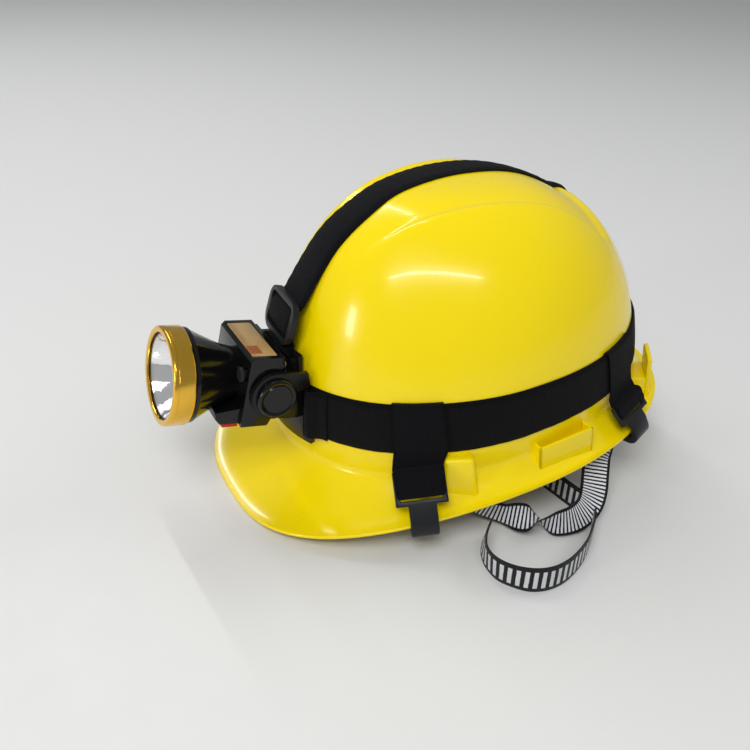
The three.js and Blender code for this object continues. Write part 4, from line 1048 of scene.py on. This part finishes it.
def make_lamp_head():
    """Bezel, lens, reflector and emitter."""
    bezel = [
        (24.6, 1.0), (24.65, 0.5), (24.95, 0.12), (25.5, 0.0),
        (27.2, 0.0), (27.8, 0.2), (28.2, 0.65), (28.4, 1.3),
        (28.4, 2.3), (28.15, 2.5), (28.15, 2.8), (28.4, 3.0), (28.4, 11.4), (28.1, 12.1), (27.6, 12.5),
        (26.6, 12.5), (26.6, 1.0),
    ]
    turned("bezel_fine", bezel, "gold_anodised", "bezel_ring")
    lens = [(0, 1.3), (26.0, 1.3), (26.2, 1.5), (26.2, 3.0), (26.0, 3.2), (0, 3.2)]
    turned("lens_fine", lens, "lens", "lens")
    apex, steepness, wall = 27.4, 0.0405, 0.7
    inner = [(r, apex - steepness * r * r) for r in np.linspace(4.4, 22.6, 26)]
    outer = [(r + wall, y + wall) for r, y in inner][::-1]
    mirror = [*inner, (23.2, 5.0), (23.9, 3.5), (23.9, 4.2), (23.2, 4.9), *outer]
    turned("reflector_fine", mirror, "reflector", "reflector", smooth_angle=60)
    dome = [(3.0 * math.cos(t), 26.3 - 2.6 * math.sin(t)) for t in np.linspace(math.pi / 2, 0, 12)]
    emitter = [(0, 23.7), *dome[1:], (3.4, 26.4), (3.4, 28.0), (0, 28.0)]
    turned("led_fine", emitter, "led", "led_emitter", LAMP_SEGMENTS // 2)


def make_lamp_parts():
    make_lamp_head()
    refined("lamp_body", "lamp_plastic", 0.0007, 3, 30)
    refined("switch_button", "red_button", 0.0008, 3)
    refined("rear_cover", "lamp_plastic", 0.0005)
    refined("label_plate", "label", 0.0002)
    refined("lamp_bracket", "bracket_plastic", 0.0005, 2)
    refined("socket_plug", "rubber", 0.0003)
    for node, material in (
        ("lens_gasket", "rubber"), ("led_board", "aluminium"), ("heat_sink", "aluminium"),
        ("driver_board", "circuit_board"), ("battery_pack", "battery_wrap"),
        ("tact_switch", "bracket_plastic"), ("charge_socket", "steel"),
    ):
        refined(node, material, 0.0002)
    for i in range(1, 5):
        refined(f"cover_screw_{i}", "steel", 0.00015)
    make_pivot_caps()


def make_pivot_caps():
    """Round caps over the pivots, dished with a raised rim."""
    cap = [(0, 3.0), (4.0, 3.1), (8.4, 3.1), (8.9, 2.6), (9.3, 2.7), (9.8, 3.2), (10.6, 3.4), (11.4, 3.1),
           (11.9, 2.4), (12.0, 1.6), (12.0, 0.0), (5.0, 0.0), (5.0, 1.9), (0, 1.9)]
    pivot = Vector(frame["joints"][0]["pos_m"])
    for side, sign in SIDES:
        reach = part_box(f"pivot_cap_{side}")[0 if sign > 0 else 1].x
        turn = Matrix.Rotation(-sign * math.pi / 2, 4, "Z")
        place = Matrix.Translation((reach, pivot.y, pivot.z)) @ ROW @ turn
        add_object(f"pivot_cap_fine_{side}", lathe(f"pivot_cap_fine_{side}", cap, place, 72), "lamp_plastic",
                   "helmet", f"pivot_cap_{side}")
        refined(f"pivot_screw_{side}", "steel", 0.0002)


# ---------------------------------------------------------------- buckles and head harness


def make_buckles():
    refined("top_slider", "buckle_plastic", 0.0007, 3)
    refined("headband_slider", "buckle_plastic", 0.0007, 3)


HEAD = dict(half_width=76, front=91, rear=88, thickness=2, half_height=15, front_z=12, rear_z=-29.4)


def head_point(angle, z, gap):
    angle, z = np.broadcast_arrays(np.asarray(angle, float), np.asarray(z, float))
    reach = np.where(np.cos(angle) > 0, HEAD["front"], HEAD["rear"])
    radius = ((np.sin(angle) / HEAD["half_width"]) ** 2 + (np.cos(angle) / reach) ** 2) ** -0.5 + gap
    return np.stack([radius * np.sin(angle), -radius * np.cos(angle), z], -1)


def head_height(angle):
    return HEAD["front_z"] + (HEAD["rear_z"] - HEAD["front_z"]) * smooth(-np.cos(angle), -0.15, 0.9)


def head_strip(name, node, material, run, gap):
    """A band round the head, for a run of (first angle, last angle, stations) in degrees."""
    angles = np.radians(np.linspace(*run))
    offsets = np.linspace(-HEAD["half_height"], HEAD["half_height"], 9)
    z = head_height(angles)[:, None] + offsets[None]
    wide = angles[:, None] + 0 * offsets[None]
    outer = head_point(wide, z, gap + HEAD["thickness"] * edge_rounding(9)[None])
    mesh = slab(name, outer, head_point(wide, z, gap + 0 * z), HELMET)
    return add_object(name, mesh, material, "helmet", node)


def brow_pad():
    """Foam sweat band: puffed by a short cloth simulation."""
    node = frame["nodes"]["brow_pad"]
    mesh = node.data.copy()
    made = bpy.data.objects.new("brow_pad_foam", mesh)
    bpy.context.scene.collection.objects.link(made)
    work = bmesh.new()
    work.from_mesh(mesh)
    bmesh.ops.remove_doubles(work, verts=work.verts, dist=2e-6)
    work.to_mesh(mesh)
    work.free()
    remesh = made.modifiers.new("remesh", "REMESH")
    remesh.mode = "VOXEL"
    remesh.voxel_size = 0.0018
    apply_modifiers(made)
    relax = made.modifiers.new("relax", "SMOOTH")
    relax.factor = 0.5
    relax.iterations = 6
    apply_modifiers(made)
    rest = [v.co.copy() for v in made.data.vertices]
    cloth = made.modifiers.new("cloth", "CLOTH")
    cloth.settings.use_pressure = True
    cloth.settings.uniform_pressure_force = 3
    cloth.settings.effector_weights.gravity = 0
    scene = bpy.context.scene
    for step in range(1, 9):
        scene.frame_set(step)
    apply_modifiers(made)
    scene.frame_set(1)
    limit = 0.0006
    for vertex, start in zip(made.data.vertices, rest):
        move = vertex.co - start
        if move.length > limit:
            vertex.co = start + move.normalized() * limit
    made.data.materials.clear()
    made.data.materials.append(MATERIALS["foam"])
    made.data.shade_smooth()
    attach(made, "helmet")
    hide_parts("brow_pad")


def apply_modifiers(made):
    evaluated = made.evaluated_get(bpy.context.evaluated_depsgraph_get())
    mesh = bpy.data.meshes.new_from_object(evaluated)
    made.modifiers.clear()
    made.data = mesh


def cradle_strap(name, node, angle, lift):
    """A webbing strap over the head, from one side of the headband to the other."""
    across = np.array([math.cos(angle), math.sin(angle), 0])
    start = head_point(angle, head_height(angle) + 4, -2.4)
    end = head_point(angle + math.pi, head_height(angle + math.pi) + 4, -2.4)
    top = np.array([0, -4, 104 + lift])
    steps = 60
    centres, inward = [], []
    for i in range(steps + 1):
        turn = math.pi * i / steps
        foot = start if i <= steps / 2 else end
        swing = abs(math.cos(turn)) ** 0.9
        rise = math.sin(turn) ** 0.8
        centres.append([top[0] + (foot[0] - top[0]) * swing, top[1] + (foot[1] - top[1]) * swing,
                        foot[2] + (top[2] - foot[2]) * rise])
        direction = np.array([-foot[0] * swing, -foot[1] * swing, -90 * math.sin(turn)])
        inward.append(direction / np.linalg.norm(direction))
    centres, inward = np.array(centres), np.array(inward)
    share = np.linspace(-9, 9, 7)
    spread = centres[:, None] + across[None, None] * share[None, :, None]
    depth = inward[:, None] * (1.2 * edge_rounding(7))[None, :, None]
    mesh = slab(name, spread, spread + depth, HELMET)
    return add_object(name, mesh, "cradle_webbing", "helmet", node)


def make_head_harness():
    head_strip("headband_fine", "headband", "harness_plastic", (-138, 138, 120), 0)
    head_strip("nape_strap_fine", "nape_strap", "harness_plastic", (134, 226, 50), 2.4)
    front = math.radians(SOCKETS["front"])
    cradle_strap("cradle_lower_webbing", "cradle_strap_lower", front, 0)
    cradle_strap("cradle_upper_webbing", "cradle_strap_upper", -front, 3)
    for side, _ in SIDES:
        refined(f"suspension_key_front_{side}", "harness_plastic", 0.0005)
        refined(f"suspension_key_rear_{side}", "harness_plastic", 0.0005)
        refined(f"chin_anchor_{side}", "harness_plastic", 0.0004)
    brow_pad()


# ---------------------------------------------------------------- assembly

make_materials()
make_camera()
make_chin_straps()
make_stage()
helmet_shell()
make_sockets()
make_headband_strap()
make_strap_ends()
make_top_strap()
make_clips()
make_buckles()
make_lamp_parts()
make_head_harness()
